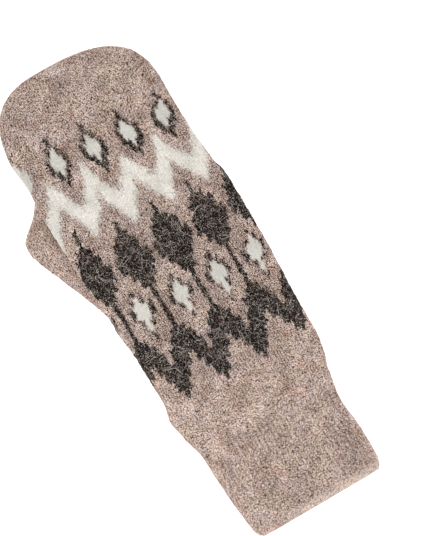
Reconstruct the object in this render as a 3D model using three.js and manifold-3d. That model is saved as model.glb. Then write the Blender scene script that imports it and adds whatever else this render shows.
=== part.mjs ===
// A knitted and felted wool mitten for the right hand. It lies palm down, the way it is put away: the hand
// rests on its own thumb, which is tucked under the palm and shows on the left. Millimetres, +Z up, +Y towards
// the fingertips, +X towards the little finger. The origin is on the floor, under the middle of the mitten.
import * as THREE from "three";
import { mergeVertices } from "three/addons/utils/BufferGeometryUtils.js";
import Module from "manifold-3d";

// Driving dimensions
const WALL = 2.4; // felted knitting with two strands is this thick
const THUMB_WALL = 2.2; // the thumb is knitted with one strand
const SEAM_GAP = 0.3; // between the pieces, where yarn joins them
const CUFF_LENGTH = 62;
const TIP_START = 244.2; // above this the outline rounds off
const TIP_LENGTH = 39.5;
const TIP_PEAK = -15; // the tip is highest here, left of the middle
const SIDE_SHARE = 0.45; // the fold at each side lies at this share of the thickness
const FLOOR_PRESS = 0.8; // how far the underside is pressed flat by the floor
const RIB_COUNT = 64; // raised ribs round the cuff
const RIB_HEIGHT = 0.9; // from the groove to the crest
const RIB_INSIDE = 0.5; // the ribs on the inside are this much lower
const RIB_FADE = 50; // the ribs run out between here and the end of the cuff
const LIP = { length: 1.4, round: 0.9 }; // the cast-on edge is rounded over

// How round a section is: 2 is an ellipse, and more is squarer.
const BACK_ROUND = { across: 2.6, up: 2.2 };
const PALM_ROUND = { across: 3, up: 3 };
const TIP_ROUND = { left: 2.45, right: 2.8, back: 3, palm: 5 };

// How finely the surfaces are divided
const HAND_COLUMNS = 52;
const THUMB_COLUMNS = 28;
const OUTLINE_STEPS = 480;
const CROWD = 9; // millimetres of outline that one radian of turning counts for
const TIP_TURNS = [14, 27, 39, 50, 60, 69, 77, 83, 87.5]; // degrees round the tip
const INNER_TIP_TURNS = [20, 40, 58, 73, 84];

// The outline and thickness of the cuff and the hand, a row for each section. The bulge at 79 is the blouse
// above the ribbing, and the step at 190 is a tuck in the little finger's side.
const SECTIONS = [
  { y: 0, left: -34.6, right: 39.8, thick: 12.0 },
  { y: 3, left: -36.6, right: 41.2, thick: 12.8 },
  { y: 14, left: -38.5, right: 42.0, thick: 13.4 },
  { y: 30, left: -39.9, right: 41.6, thick: 13.6 },
  { y: 42, left: -40.8, right: 40.2, thick: 13.4 },
  { y: 52, left: -41.0, right: 41.2, thick: 13.2 },
  { y: 58, left: -41.7, right: 42.6, thick: 13.2 },
  { y: 63, left: -43.6, right: 43.6, thick: 13.9 },
  { y: 70, left: -45.1, right: 45.8, thick: 15.1 },
  { y: 79, left: -47.0, right: 47.6, thick: 16.0 },
  { y: 90, left: -45.1, right: 48.0, thick: 15.3 },
  { y: 107, left: -45.0, right: 48.0, thick: 15.2 },
  { y: 123, left: -45.4, right: 48.8, thick: 15.2 },
  { y: 138, left: -47.0, right: 49.3, thick: 15.2 },
  { y: 148, left: -47.0, right: 49.5, thick: 15.1 },
  { y: 161, left: -48.3, right: 49.5, thick: 15.0 },
  { y: 175, left: -49.0, right: 49.3, thick: 14.9 },
  { y: 186, left: -49.4, right: 48.9, thick: 14.8 },
  { y: 193, left: -49.7, right: 47.1, thick: 14.7 },
  { y: 203, left: -50.0, right: 45.9, thick: 14.5 },
  { y: 215, left: -50.0, right: 45.1, thick: 14.2 },
  { y: 229, left: -49.5, right: 44.6, thick: 13.8 },
  { y: TIP_START, left: -50.9, right: 44.7, thick: 13.4 },
];
const CUFF_RINGS = [0, LIP.length, 12, 24, 36, RIB_FADE, 57, CUFF_LENGTH];
const INNER_CUFF_RINGS = [0, LIP.length, 31, CUFF_LENGTH];
const HAND_FOOT = CUFF_LENGTH + SEAM_GAP;
const HAND_RINGS = [HAND_FOOT, 66, 70, 75, 79, 84, 90, 95, 101, 107, 114, 122, 130, 138, 148, 161, 174];
HAND_RINGS.push(181, 186, 190, 195, 203, 215, 229, TIP_START);
const INNER_HAND_RINGS = [HAND_FOOT, 70, 79, 90, 101, 112, 122, 134, 148, 161, 174, 186, 203, 229, TIP_START];

// Soft dents in the back: where each lies, which way it runs, and how long, wide and deep it is
const DENTS = [
  { name: "above the blouse", x: 6, y: 94, turn: 2, length: 34, width: 7, depth: 0.9 },
  { name: "tuck at the little finger", x: 47, y: 190, turn: 168, length: 27, width: 6, depth: 1.7 },
  { name: "slack beside the thumb", x: -46, y: 115, turn: 14, length: 22, width: 8, depth: 1.3 },
  { name: "edge of the thumb below", x: -4, y: 178, turn: 112, length: 34, width: 9, depth: 0.8 },
  { name: "hollow in the cuff", x: 15, y: 32, turn: 84, length: 20, width: 9, depth: 1.0 },
];

// The thumb has a frame of its own: along runs from the point of its gusset to its tip.
const THUMB_FOOT = { x: -13, y: 111 };
const THUMB_TILT = THREE.MathUtils.degToRad(22.6); // it points this far out from the hand
const THUMB_SECTIONS = [
  { along: 2, left: -4.5, right: 4.5, thick: 5.0 },
  { along: 8, left: -8.0, right: 7.5, thick: 5.6 },
  { along: 18, left: -12.0, right: 11.0, thick: 7.0 },
  { along: 30, left: -15.5, right: 14.0, thick: 8.8 },
  { along: 43, left: -17.8, right: 15.6, thick: 9.9 },
  { along: 56, left: -17.0, right: 16.0, thick: 10.4 },
  { along: 70, left: -16.6, right: 16.0, thick: 10.5 },
  { along: 84, left: -16.6, right: 16.0, thick: 10.5 },
  { along: 95, left: -16.5, right: 16.0, thick: 10.4 },
  { along: 101, left: -16.0, right: 15.6, thick: 10.1 },
  { along: 105, left: -14.6, right: 15.0, thick: 9.6 },
  { along: 108, left: -12.3, right: 14.2, thick: 8.8 },
  { along: 110.5, left: -7.0, right: 13.2, thick: 7.9 },
  { along: 112.5, left: -0.5, right: 12.2, thick: 6.9 },
  { along: 114.5, left: 3.6, right: 11.3, thick: 5.6 },
  { along: 116.2, left: 6.4, right: 10.2, thick: 3.8 },
];
const THUMB_POLES = { foot: 0, innerFoot: 13, innerTip: 111.8, tip: 117.2 };
const THUMB_HOLLOW = { from: 18, to: 112.5 }; // the rows that the hollow follows
const THUMB_BEND = { from: 88, to: 104 }; // its tip is rounded after this, so the hollow ends sooner

// The oval way from the hand into the thumb, with a collar of knitting that joins them
const WAY = { along: 43, halfLength: 18, halfWidth: 10.5, low: 5.2, high: 17, sides: 28, sunk: 1 };

// How the hand rides over the thumb: the height at the thumb's point and where it is thickest, the lengths
// over which it rises, gains height and comes down, and how far the palm and the back spread to each side
const RIDE = { point: 5.2, full: 10.9, rise: 30, gain: 45, after: 108, end: 141 };
const PALM_RIDE = { share: 1, flat: 14, side: 40 };
const BACK_RIDE = { share: 0.85, flat: 5, side: 62 };

const WOOL = new THREE.Color("#c1a799");

const wasm = await Module();
wasm.setup();

// Smooth steps from 0 at a to 1 at b
const ramp = (a, b, v) => THREE.MathUtils.smoothstep(v, a, b);

// A point of the mitten's plane in the thumb's frame, and the other way round
function toThumb(x, y) {
  const [dx, dy] = [x - THUMB_FOOT.x, y - THUMB_FOOT.y];
  const [c, s] = [Math.cos(THUMB_TILT), Math.sin(THUMB_TILT)];
  return { along: dy * c - dx * s, across: dx * c + dy * s };
}

function fromThumb(along, across, z) {
  const [c, s] = [Math.cos(THUMB_TILT), Math.sin(THUMB_TILT)];
  return new THREE.Vector3(THUMB_FOOT.x + across * c - along * s, THUMB_FOOT.y + across * s + along * c, z);
}

// How far the thumb lifts the palm, or the back, at a place
function ride(x, y, spread) {
  const { along, across } = toThumb(x, y);
  const height = RIDE.point + (RIDE.full - RIDE.point) * ramp(0, RIDE.gain, along);
  const lengthwise = ramp(-RIDE.rise, 0, along) * (1 - ramp(RIDE.after, RIDE.end, along));
  return spread.share * height * lengthwise * (1 - ramp(spread.flat, spread.side, Math.abs(across)));
}

// How deep the dents are at a place
function dent(x, y) {
  return DENTS.reduce((depth, row) => {
    const turn = THREE.MathUtils.degToRad(row.turn);
    const [dx, dy] = [x - row.x, y - row.y];
    const along = (dx * Math.cos(turn) + dy * Math.sin(turn)) / row.length;
    const across = (dy * Math.cos(turn) - dx * Math.sin(turn)) / row.width;
    return depth + row.depth * Math.exp(-along * along - across * across);
  }, 0);
}

// A section that lies on the floor, domed above and flat below, and the same with a wall taken off all round
function lying({ left, right, thick }) {
  return { left, right, top: thick, side: thick * SIDE_SHARE, underside: 0 };
}

function inset({ left, right, top, side, underside }, wall) {
  return { left: left + wall, right: right - wall, top: top - wall, side, underside: underside + wall };
}

// A smooth reading of a table of sections, at any place between its rows
function reader(rows, key) {
  const columns = ["left", "right", "thick"];
  const places = Float32Array.from(rows, (row) => row[key]);
  const values = Float32Array.from(rows.flatMap((row) => columns.map((column) => row[column])));
  const curve = new THREE.CubicInterpolant(places, values, columns.length);
  return (place) => {
    const [left, right, thick] = curve.evaluate(place);
    return lying({ left, right, thick });
  };
}
const bodyAt = reader(SECTIONS, "y");
const thumbAt = reader(THUMB_SECTIONS, "along");

// The section at a share of the rounded tip, from 0 where it starts to 1 at its peak
function tipSection({ left, right, top, side, underside }, share) {
  const kept = (square) => (1 - share ** square) ** (1 / square);
  return {
    left: TIP_PEAK + (left - TIP_PEAK) * kept(TIP_ROUND.left),
    right: TIP_PEAK + (right - TIP_PEAK) * kept(TIP_ROUND.right),
    top: side + (top - side) * kept(TIP_ROUND.back),
    side,
    underside: side + (underside - side) * kept(TIP_ROUND.palm),
  };
}

// Points round a section: from the left fold over the back to the right fold, and home under the palm.
// They are evenly spaced, and closer where the outline turns if they are crowded.
function ringOf(section, columns, crowd, place) {
  const squared = (v, square) => Math.sign(v) * Math.abs(v) ** (2 / square);
  const middle = (section.left + section.right) / 2;
  const half = (section.right - section.left) / 2;
  const line = [];
  for (let i = 0; i <= OUTLINE_STEPS; i++) {
    const turn = Math.PI * (1 - (2 * i) / OUTLINE_STEPS);
    const back = Math.sin(turn) >= 0;
    const round = back ? BACK_ROUND : PALM_ROUND;
    const rise = squared(Math.abs(Math.sin(turn)), round.up);
    const up = back
      ? section.side + (section.top - section.side) * rise
      : Math.max(section.underside, section.side - (section.side - section.underside + FLOOR_PRESS) * rise);
    line.push(place(middle + half * squared(Math.cos(turn), round.across), up, section.top));
  }
  const spent = [0];
  for (let i = 1, before = line[0].clone().sub(line[OUTLINE_STEPS - 1]); i < line.length; i++) {
    const step = line[i].clone().sub(line[i - 1]);
    spent.push(spent[i - 1] + step.length() + crowd * before.angleTo(step));
    before = step;
  }
  const ring = [];
  for (let j = 0, i = 1; j < columns; j++) {
    const wanted = (spent[OUTLINE_STEPS] * j) / columns;
    while (spent[i] < wanted) i++;
    const share = (wanted - spent[i - 1]) / (spent[i] - spent[i - 1]);
    ring.push(line[i - 1].clone().lerp(line[i], share));
  }
  return ring;
}

// A ring of the cuff or the hand, which rides over the thumb and is dented
function bodyRing(section, y, columns, crowd) {
  return ringOf(section, columns, crowd, (x, z, top) => {
    const share = THREE.MathUtils.clamp(z / top, 0, 1);
    const lift = THREE.MathUtils.lerp(ride(x, y, PALM_RIDE), ride(x, y, BACK_RIDE), share);
    return new THREE.Vector3(x, y, z + lift - dent(x, y) * ramp(SIDE_SHARE, 1, share));
  });
}

// The outward direction at each point of a stack of rings
function outward(rings) {
  return rings.map((ring, i) =>
    ring.map((_, j) => {
      const round = ring[(j + 1) % ring.length].clone().sub(ring[(j + ring.length - 1) % ring.length]);
      const up = rings[Math.min(i + 1, rings.length - 1)][j].clone().sub(rings[Math.max(i - 1, 0)][j]);
      return round.cross(up).normalize();
    }),
  );
}

// A closed mesh that is put together from skins of stacked rings, with a pole or a rim at their ends
class Shell {
  points = [];
  faces = [];

  add(point) {
    return this.points.push(point) - 1;
  }

  face(a, b, c, flipped) {
    this.faces.push(...(flipped ? [a, c, b] : [a, b, c]));
  }

  skin(rings, { first, last, inwards }) {
    const ids = rings.map((ring) => ring.map((point) => this.add(point)));
    const columns = ids[0].length;
    const [low, high] = [first && this.add(first), last && this.add(last)];
    for (let j = 0; j < columns; j++) {
      const k = (j + 1) % columns;
      for (let i = 0; i + 1 < ids.length; i++) {
        this.face(ids[i][j], ids[i][k], ids[i + 1][j], inwards);
        this.face(ids[i][k], ids[i + 1][k], ids[i + 1][j], inwards);
      }
      if (last) this.face(ids.at(-1)[j], ids.at(-1)[k], high, inwards);
      if (first) this.face(ids[0][k], ids[0][j], low, inwards);
    }
    return ids;
  }

  rim(outer, inner, flipped) {
    for (let j = 0; j < outer.length; j++) {
      const k = (j + 1) % outer.length;
      this.face(outer[j], inner[j], outer[k], flipped);
      this.face(inner[j], inner[k], outer[k], flipped);
    }
  }

  geometry() {
    return new THREE.BufferGeometry().setFromPoints(this.points).setIndex(this.faces);
  }
}

function toSolid(geometry) {
  const plain = geometry.clone();
  plain.deleteAttribute("normal");
  plain.deleteAttribute("uv");
  const { index, attributes } = mergeVertices(plain);
  const vertProperties = Float32Array.from(attributes.position.array);
  return new wasm.Manifold(
    new wasm.Mesh({ numProp: 3, vertProperties, triVerts: Uint32Array.from(index.array) }),
  );
}

function toGeometry(solid) {
  const { vertProperties, triVerts } = solid.getMesh();
  return new THREE.BufferGeometry()
    .setAttribute("position", new THREE.BufferAttribute(vertProperties, 3))
    .setIndex(new THREE.BufferAttribute(triVerts, 1));
}

// The cuff: a tube of one-by-one ribbing with a rounded cast-on edge
function cuff() {
  const columns = 2 * RIB_COUNT;
  const ribbed = (heights, wall, ribShare, lip) => {
    const rings = heights.map((y) => bodyRing(inset(bodyAt(y), wall), y, columns, 0));
    const normals = outward(rings);
    return rings.map((ring, i) =>
      ring.map((point, j) => {
        const rib = (j % 2 ? -0.5 : 0.5) * RIB_HEIGHT * ribShare * (1 - ramp(RIB_FADE, CUFF_LENGTH, heights[i]));
        point.addScaledVector(normals[i][j], rib + (i ? 0 : lip));
        return point.setY(heights[i]).setZ(Math.max(point.z, 0));
      }),
    );
  };
  const shell = new Shell();
  const outside = shell.skin(ribbed(CUFF_RINGS, 0, 1, -LIP.round), {});
  const inside = shell.skin(ribbed(INNER_CUFF_RINGS, WALL, RIB_INSIDE, LIP.round), { inwards: true });
  shell.rim(outside[0], inside[0], false);
  shell.rim(outside.at(-1), inside.at(-1), true);
  return shell.geometry();
}

// One skin of the hand: the rings that it is drawn through, and its peak
function handSkin(wall, heights, turns) {
  const start = inset(bodyAt(TIP_START), wall);
  const rings = heights.map((y) => bodyRing(inset(bodyAt(y), wall), y, HAND_COLUMNS, CROWD));
  for (const turn of turns) {
    const share = Math.sin(THREE.MathUtils.degToRad(turn));
    const y = TIP_START + share * (TIP_LENGTH - wall);
    rings.push(bodyRing(tipSection(start, share), y, HAND_COLUMNS, CROWD));
  }
  return { rings, peak: new THREE.Vector3(TIP_PEAK, TIP_START + TIP_LENGTH - wall, start.side) };
}

// The hand's outer form alone, filled up
function filledHand() {
  const { rings, peak } = handSkin(0, HAND_RINGS, TIP_TURNS);
  const shell = new Shell();
  shell.skin(rings, { first: new THREE.Vector3(0, HAND_FOOT, bodyAt(HAND_FOOT).side), last: peak });
  return shell.geometry();
}

// The hand: a flattened tube with a rounded tip, open at the wrist and into the thumb
function hand(way) {
  const outer = handSkin(0, HAND_RINGS, TIP_TURNS);
  const inner = handSkin(WALL, INNER_HAND_RINGS, INNER_TIP_TURNS);
  const shell = new Shell();
  const outside = shell.skin(outer.rings, { last: outer.peak });
  // The inside has fewer rings, so the two skins only meet in the rim at the wrist.
  const inside = shell.skin(inner.rings, { last: inner.peak, inwards: true });
  shell.rim(outside[0], inside[0], false);
  return toGeometry(toSolid(shell.geometry()).subtract(way));
}

// The thumb: a flattened finger of plain knitting with a pointed gusset at its foot. A collar round the way in
// reaches up to the palm, and is cut to the palm's form.
function thumb(way, palm) {
  const ring = (section, along) =>
    ringOf(section, THUMB_COLUMNS, CROWD / 2, (across, z) => fromThumb(along, across, z));
  const pole = (row, along) => fromThumb(along, (row.left + row.right) / 2, lying(row).side);
  const shell = new Shell();
  const outside = THUMB_SECTIONS.map((row) => ring(lying(row), row.along));
  shell.skin(outside, {
    first: pole(THUMB_SECTIONS[0], THUMB_POLES.foot),
    last: pole(THUMB_SECTIONS.at(-1), THUMB_POLES.tip),
  });
  const hollow = THUMB_SECTIONS.filter(({ along }) => along >= THUMB_HOLLOW.from && along <= THUMB_HOLLOW.to);
  const inside = hollow.map((row) => {
    const sooner = THUMB_WALL * ramp(THUMB_BEND.from, THUMB_BEND.to, row.along);
    return ring(inset(lying(row), THUMB_WALL), row.along - sooner);
  });
  shell.skin(inside, {
    first: pole(hollow[0], THUMB_POLES.innerFoot),
    last: pole(hollow.at(-1), THUMB_POLES.innerTip),
    inwards: true,
  });
  return toGeometry(toSolid(shell.geometry()).add(toSolid(collar())).subtract(way).subtract(palm));
}

// An oval ring that stands on the thumb round the way in
function collar() {
  const oval = (grow, heightAt) =>
    Array.from({ length: WAY.sides }, (_, i) => {
      const turn = (2 * Math.PI * i) / WAY.sides;
      const along = WAY.along + (WAY.halfLength + grow) * Math.sin(turn);
      const across = (WAY.halfWidth + grow) * Math.cos(turn);
      return fromThumb(along, across, heightAt(along, across));
    });
  const onThumb = (along, across) => {
    const { left, right, top, side } = thumbAt(along);
    const off = Math.abs((2 * across - left - right) / (right - left));
    return side + (top - side) * (1 - off ** BACK_ROUND.across) ** (1 / BACK_ROUND.up) - WAY.sunk;
  };
  const shell = new Shell();
  const outside = shell.skin([oval(THUMB_WALL, onThumb), oval(THUMB_WALL, () => WAY.high)], {});
  const inside = shell.skin([oval(-WAY.sunk, onThumb), oval(-WAY.sunk, () => WAY.high)], { inwards: true });
  shell.rim(outside[0], inside[0], false);
  shell.rim(outside[1], inside[1], true);
  return shell.geometry();
}

// An oval plug that opens the palm and the thumb's upper wall
function wayThrough() {
  const centre = fromThumb(WAY.along, 0, (WAY.low + WAY.high) / 2);
  return new THREE.CylinderGeometry(1, 1, WAY.high - WAY.low, WAY.sides)
    .rotateX(Math.PI / 2)
    .scale(WAY.halfWidth, WAY.halfLength, 1)
    .rotateZ(THUMB_TILT)
    .translate(centre.x, centre.y, centre.z);
}

function knitted(name, geometry) {
  geometry.computeVertexNormals();
  const wool = new THREE.MeshStandardMaterial({ color: WOOL, roughness: 0.95, metalness: 0 });
  const mesh = new THREE.Mesh(geometry, wool);
  mesh.name = name;
  return mesh;
}

const way = toSolid(wayThrough());
const palm = toSolid(filledHand().translate(0, 0, -SEAM_GAP));
const mitten = new THREE.Group();
mitten.add(knitted("cuff", cuff()), knitted("hand", hand(way)), knitted("thumb", thumb(way, palm)));
const room = new THREE.Box3().setFromObject(mitten);
const middle = room.getCenter(new THREE.Vector3());
mitten.position.set(-middle.x, -middle.y, -room.min.z);

export default mitten;
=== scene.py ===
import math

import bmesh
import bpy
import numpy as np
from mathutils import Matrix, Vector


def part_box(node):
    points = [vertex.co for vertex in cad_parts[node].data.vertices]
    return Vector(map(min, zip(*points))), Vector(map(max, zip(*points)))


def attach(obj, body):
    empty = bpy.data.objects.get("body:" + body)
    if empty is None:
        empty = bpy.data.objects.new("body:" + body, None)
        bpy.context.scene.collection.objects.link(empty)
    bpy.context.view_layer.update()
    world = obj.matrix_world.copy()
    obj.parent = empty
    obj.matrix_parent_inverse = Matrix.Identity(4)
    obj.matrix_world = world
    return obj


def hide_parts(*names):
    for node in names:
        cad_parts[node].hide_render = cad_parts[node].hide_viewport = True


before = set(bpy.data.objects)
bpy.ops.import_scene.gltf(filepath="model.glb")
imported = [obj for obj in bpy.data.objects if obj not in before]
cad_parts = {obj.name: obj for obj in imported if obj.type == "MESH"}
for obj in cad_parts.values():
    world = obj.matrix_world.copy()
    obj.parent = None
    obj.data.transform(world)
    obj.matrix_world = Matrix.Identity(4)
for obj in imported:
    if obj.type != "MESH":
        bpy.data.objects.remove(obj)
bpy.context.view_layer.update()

# %% [markdown]
# # A felted wool mitten
# This lesson dresses a plain model of a knitted mitten with its real surface. The mitten lies palm down on
# its own thumb. It has three pieces: a ribbed cuff, a patterned hand and a plain thumb. Each is knitted here
# as a flat grid, a few points to a stitch, which is then bent round the form, the way a knitter sees a sleeve
# as a flat chart. Short ribbons of fibre on top make the fuzz that felting raises. Lengths are in millimetres
# until the last moment, as a knitter measures. The model itself is in metres.

cad_box = {name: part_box(name) for name in ("cuff", "hand", "thumb")}
for name, (low, high) in cad_box.items():
    print(name, "is", [round((b - a) * 1000, 1) for a, b in zip(low, high)], "mm")

# %% [markdown]
# ## The form
# The pieces have to lie exactly where the plain model has them, so the same short tables are used: the
# outline and the thickness at a few heights, read with a smooth curve between the rows. A section is domed
# above and pressed flat below. The hand rides over the thumb that lies under it, and a few soft dents keep
# it from looking blown up.

# %% Sizes of the form
MM = 0.001
WALL = 2.4
THUMB_WALL = 2.2
SIDE_SHARE = 0.45  # the fold at each side lies at this share of the thickness
FLOOR_PRESS = 0.8  # how far the underside is pressed flat
OFF_FLOOR = 0.02  # no stitch and no fibre comes lower than this
CUFF_LENGTH = 62.12
HAND_FOOT = 62.17  # a hair's breadth from the cuff, so that the knitting seems to run on
TIP_START = 244.2
TIP_LENGTH = 39.5
TIP_PEAK = -15.0
TIP_THICK = 13.4

# How round a section is: 2 is an ellipse, and more is squarer.
BACK_ROUND = {"across": 2.6, "up": 2.2}
PALM_ROUND = {"across": 3.0, "up": 3.0}
TIP_ROUND = {"left": 2.45, "right": 2.8, "back": 3.0, "palm": 5.0}
print("the tip is rounded over", TIP_LENGTH, "mm")

# %% The tables of the form
# y, left, right, thick
BODY_SECTIONS = np.array([
    (0, -34.6, 39.8, 12.0), (3, -36.6, 41.2, 12.8), (14, -38.5, 42.0, 13.4), (30, -39.9, 41.6, 13.6),
    (42, -40.8, 40.2, 13.4), (52, -41.0, 41.2, 13.2), (58, -41.7, 42.6, 13.2), (63, -43.6, 43.6, 13.9),
    (70, -45.1, 45.8, 15.1), (79, -47.0, 47.6, 16.0), (90, -45.1, 48.0, 15.3), (107, -45.0, 48.0, 15.2),
    (123, -45.4, 48.8, 15.2), (138, -47.0, 49.3, 15.2), (148, -47.0, 49.5, 15.1), (161, -48.3, 49.5, 15.0),
    (175, -49.0, 49.3, 14.9), (186, -49.4, 48.9, 14.8), (193, -49.7, 47.1, 14.7), (203, -50.0, 45.9, 14.5),
    (215, -50.0, 45.1, 14.2), (229, -49.5, 44.6, 13.8), (TIP_START, -50.9, 44.7, TIP_THICK),
])

# x, y, turn in degrees, length, width, depth
DENTS = [
    (6, 94, 2, 34, 7, 0.9), (47, 190, 168, 27, 6, 1.7), (-46, 115, 14, 22, 8, 1.3),
    (-4, 178, 112, 34, 9, 0.8), (15, 32, 84, 20, 9, 1.0),
]

# The thumb has a frame of its own, from the point of its gusset along to its tip.
THUMB_FOOT = (-13.0, 111.0)
THUMB_TILT = math.radians(22.6)
THUMB_LENGTH = 117.2
# along, left, right, thick
THUMB_SECTIONS = np.array([
    (2, -4.5, 4.5, 5.0), (8, -8.0, 7.5, 5.6), (18, -12.0, 11.0, 7.0), (30, -15.5, 14.0, 8.8),
    (43, -17.8, 15.6, 9.9), (56, -17.0, 16.0, 10.4), (70, -16.6, 16.0, 10.5), (84, -16.6, 16.0, 10.5),
    (95, -16.5, 16.0, 10.4), (101, -16.0, 15.6, 10.1), (105, -14.6, 15.0, 9.6), (108, -12.3, 14.2, 8.8),
    (110.5, -7.0, 13.2, 7.9), (112.5, -0.5, 12.2, 6.9), (114.5, 3.6, 11.3, 5.6), (116.2, 6.4, 10.2, 3.8),
])

# How the hand rides over the thumb: the height at the thumb's point and where it is thickest, and the lengths
# over which it rises, gains height and comes down. Then how far the palm and the back spread to each side.
RIDE = {"point": 5.2, "full": 10.9, "rise": 30, "gain": 45, "after": 108, "end": 141}
PALM_RIDE = {"share": 1.0, "flat": 14, "side": 40}
BACK_RIDE = {"share": 0.85, "flat": 5, "side": 62}
WAY = {"along": 43.0, "half_length": 18.0, "half_width": 10.5}  # the oval way from the hand into the thumb
WAY_RIM = 1.5  # corners of the cut where inside_way says less than this are moved onto the oval
print(len(BODY_SECTIONS), "sections of the cuff and hand,", len(THUMB_SECTIONS), "of the thumb")


# %% Reading a table smoothly
def read_table(table, at):
    """The columns of a table at any place: a cubic curve whose slope at a row is the mean of both sides'."""
    places, values = table[:, 0], table[:, 1:]
    steep = np.diff(values, axis=0) / np.diff(places)[:, None]
    slopes = np.vstack([steep[:1], (steep[:-1] + steep[1:]) / 2, steep[-1:]])
    at = np.clip(at, places[0], places[-1])
    i = np.clip(np.searchsorted(places, at, side="right") - 1, 0, len(places) - 2)
    gap = places[i + 1] - places[i]
    t = ((at - places[i]) / gap)[..., None]
    gap = gap[..., None]
    found = (
        (2 * t**3 - 3 * t**2 + 1) * values[i] + (t**3 - 2 * t**2 + t) * gap * slopes[i]
        + (3 * t**2 - 2 * t**3) * values[i + 1] + (t**3 - t**2) * gap * slopes[i + 1]
    )
    return [found[..., k] for k in range(values.shape[1])]


def ramp(start, end, value):
    """A smooth step from 0 at start to 1 at end."""
    share = np.clip((value - start) / (end - start), 0, 1)
    return share * share * (3 - 2 * share)


at_150 = read_table(BODY_SECTIONS, np.array([150.0]))
print("left, right and thickness at 150 mm:", [round(float(value[0]), 1) for value in at_150])


# %% How the hand rides over the thumb, and its dents
def to_thumb(x, y):
    """How far along the thumb and across it a place of the mitten's plan is."""
    dx, dy = x - THUMB_FOOT[0], y - THUMB_FOOT[1]
    c, s = math.cos(THUMB_TILT), math.sin(THUMB_TILT)
    return dy * c - dx * s, dx * c + dy * s


def from_thumb(along, across):
    """The place of the mitten's plan that is so far along the thumb and across it."""
    c, s = math.cos(THUMB_TILT), math.sin(THUMB_TILT)
    return THUMB_FOOT[0] + across * c - along * s, THUMB_FOOT[1] + across * s + along * c


def ride(x, y, spread):
    """How far the thumb lifts the hand at a place, for the palm's spread or the back's."""
    along, across = to_thumb(x, y)
    height = RIDE["point"] + (RIDE["full"] - RIDE["point"]) * ramp(0, RIDE["gain"], along)
    lengthwise = ramp(-RIDE["rise"], 0, along) * (1 - ramp(RIDE["after"], RIDE["end"], along))
    return spread["share"] * height * lengthwise * (1 - ramp(spread["flat"], spread["side"], abs(across)))


def dent(x, y):
    """How deep the dents of the back are at a place."""
    depth = 0 * x
    for row_x, row_y, turn, length, width, deep in DENTS:
        c, s = math.cos(math.radians(turn)), math.sin(math.radians(turn))
        along = ((x - row_x) * c + (y - row_y) * s) / length
        across = ((y - row_y) * c - (x - row_x) * s) / width
        depth = depth + deep * np.exp(-along**2 - across**2)
    return depth


print("the thumb lifts the palm by", round(float(ride(*from_thumb(60.0, 0.0), PALM_RIDE)), 1), "mm")

# %% A section, and the point at a place round it
OUTLINE_STEPS = 2400
RIGHT_FOLD = OUTLINE_STEPS // 2
# The outline starts at the left fold and goes over the back to the right fold, and back under the palm.
around = np.pi * (1 - 2 * np.linspace(0, 1, OUTLINE_STEPS + 1))
on_back = np.arange(OUTLINE_STEPS + 1) <= RIGHT_FOLD
across_power = np.where(on_back, 2 / BACK_ROUND["across"], 2 / PALM_ROUND["across"])
up_power = np.where(on_back, 2 / BACK_ROUND["up"], 2 / PALM_ROUND["up"])
OUTLINE_X = np.sign(np.cos(around)) * abs(np.cos(around)) ** across_power
OUTLINE_Z = np.where(on_back, 1, -1) * abs(np.sin(around)) ** up_power
print("an outline has", OUTLINE_STEPS, "steps, half of them over the back")


def inset(left, right, thick, wall):
    """A section from a row of the tables, with a wall taken off all round."""
    return {"left": left + wall, "right": right - wall, "top": thick - wall, "side": thick * SIDE_SHARE,
            "low": wall + 0 * thick}


def flat_place(section, across, up):
    """x and z of a section's outline, across from -1 to 1 and up from -1, the palm, to 1, the back."""
    x = (section["left"] + section["right"]) / 2 + (section["right"] - section["left"]) / 2 * across
    back = section["side"] + (section["top"] - section["side"]) * up
    palm = section["side"] + (section["side"] - section["low"] + FLOOR_PRESS) * up
    return x, np.where(up >= 0, back, np.maximum(section["low"], palm))


def body_place(section, across, up, y):
    """A point of the cuff or the hand, lifted by the thumb and dented."""
    x, z = flat_place(section, across, up)
    share = np.clip(z / section["top"], 0, 1)
    lift = ride(x, y, PALM_RIDE) * (1 - share) + ride(x, y, BACK_RIDE) * share
    return np.stack([x, y + 0 * x, z + lift - dent(x, y) * ramp(SIDE_SHARE, 1, share)], axis=-1)


def round_outline(section):
    """x along a section's outline, and the length round it that each step has reached."""
    x, z = flat_place(section, OUTLINE_X, OUTLINE_Z)
    return x, np.concatenate([[0], np.cumsum(np.hypot(np.diff(x), np.diff(z)))])


def at_length_round(arc, place):
    """How far across and up an outline is at a length round it."""
    return np.interp(place, arc, OUTLINE_X), np.interp(place, arc, OUTLINE_Z)


# %% [markdown]
# ## Along the hand
# A knitter counts courses along the fabric. Up to the start of the tip a course is simply a height, and over
# the rounded tip the fabric turns down to its last stitches. So lengths are measured along the middle of the
# back, and the tip's share of roundness is found from that length.

# %% Lengths over the rounded tip
def tip_lengths(wall):
    """Lengths over the back of the tip, and the share of the tip's height that each of them reaches."""
    shares = np.sin(np.linspace(0, np.pi / 2, 600))
    power = TIP_ROUND["back"]
    fall = (TIP_THICK * (1 - SIDE_SHARE) - wall) * (1 - (1 - shares**power) ** (1 / power))
    steps = np.hypot(np.diff(shares * (TIP_LENGTH - wall)), np.diff(fall))
    return np.concatenate([[0], np.cumsum(steps)]), shares


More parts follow.
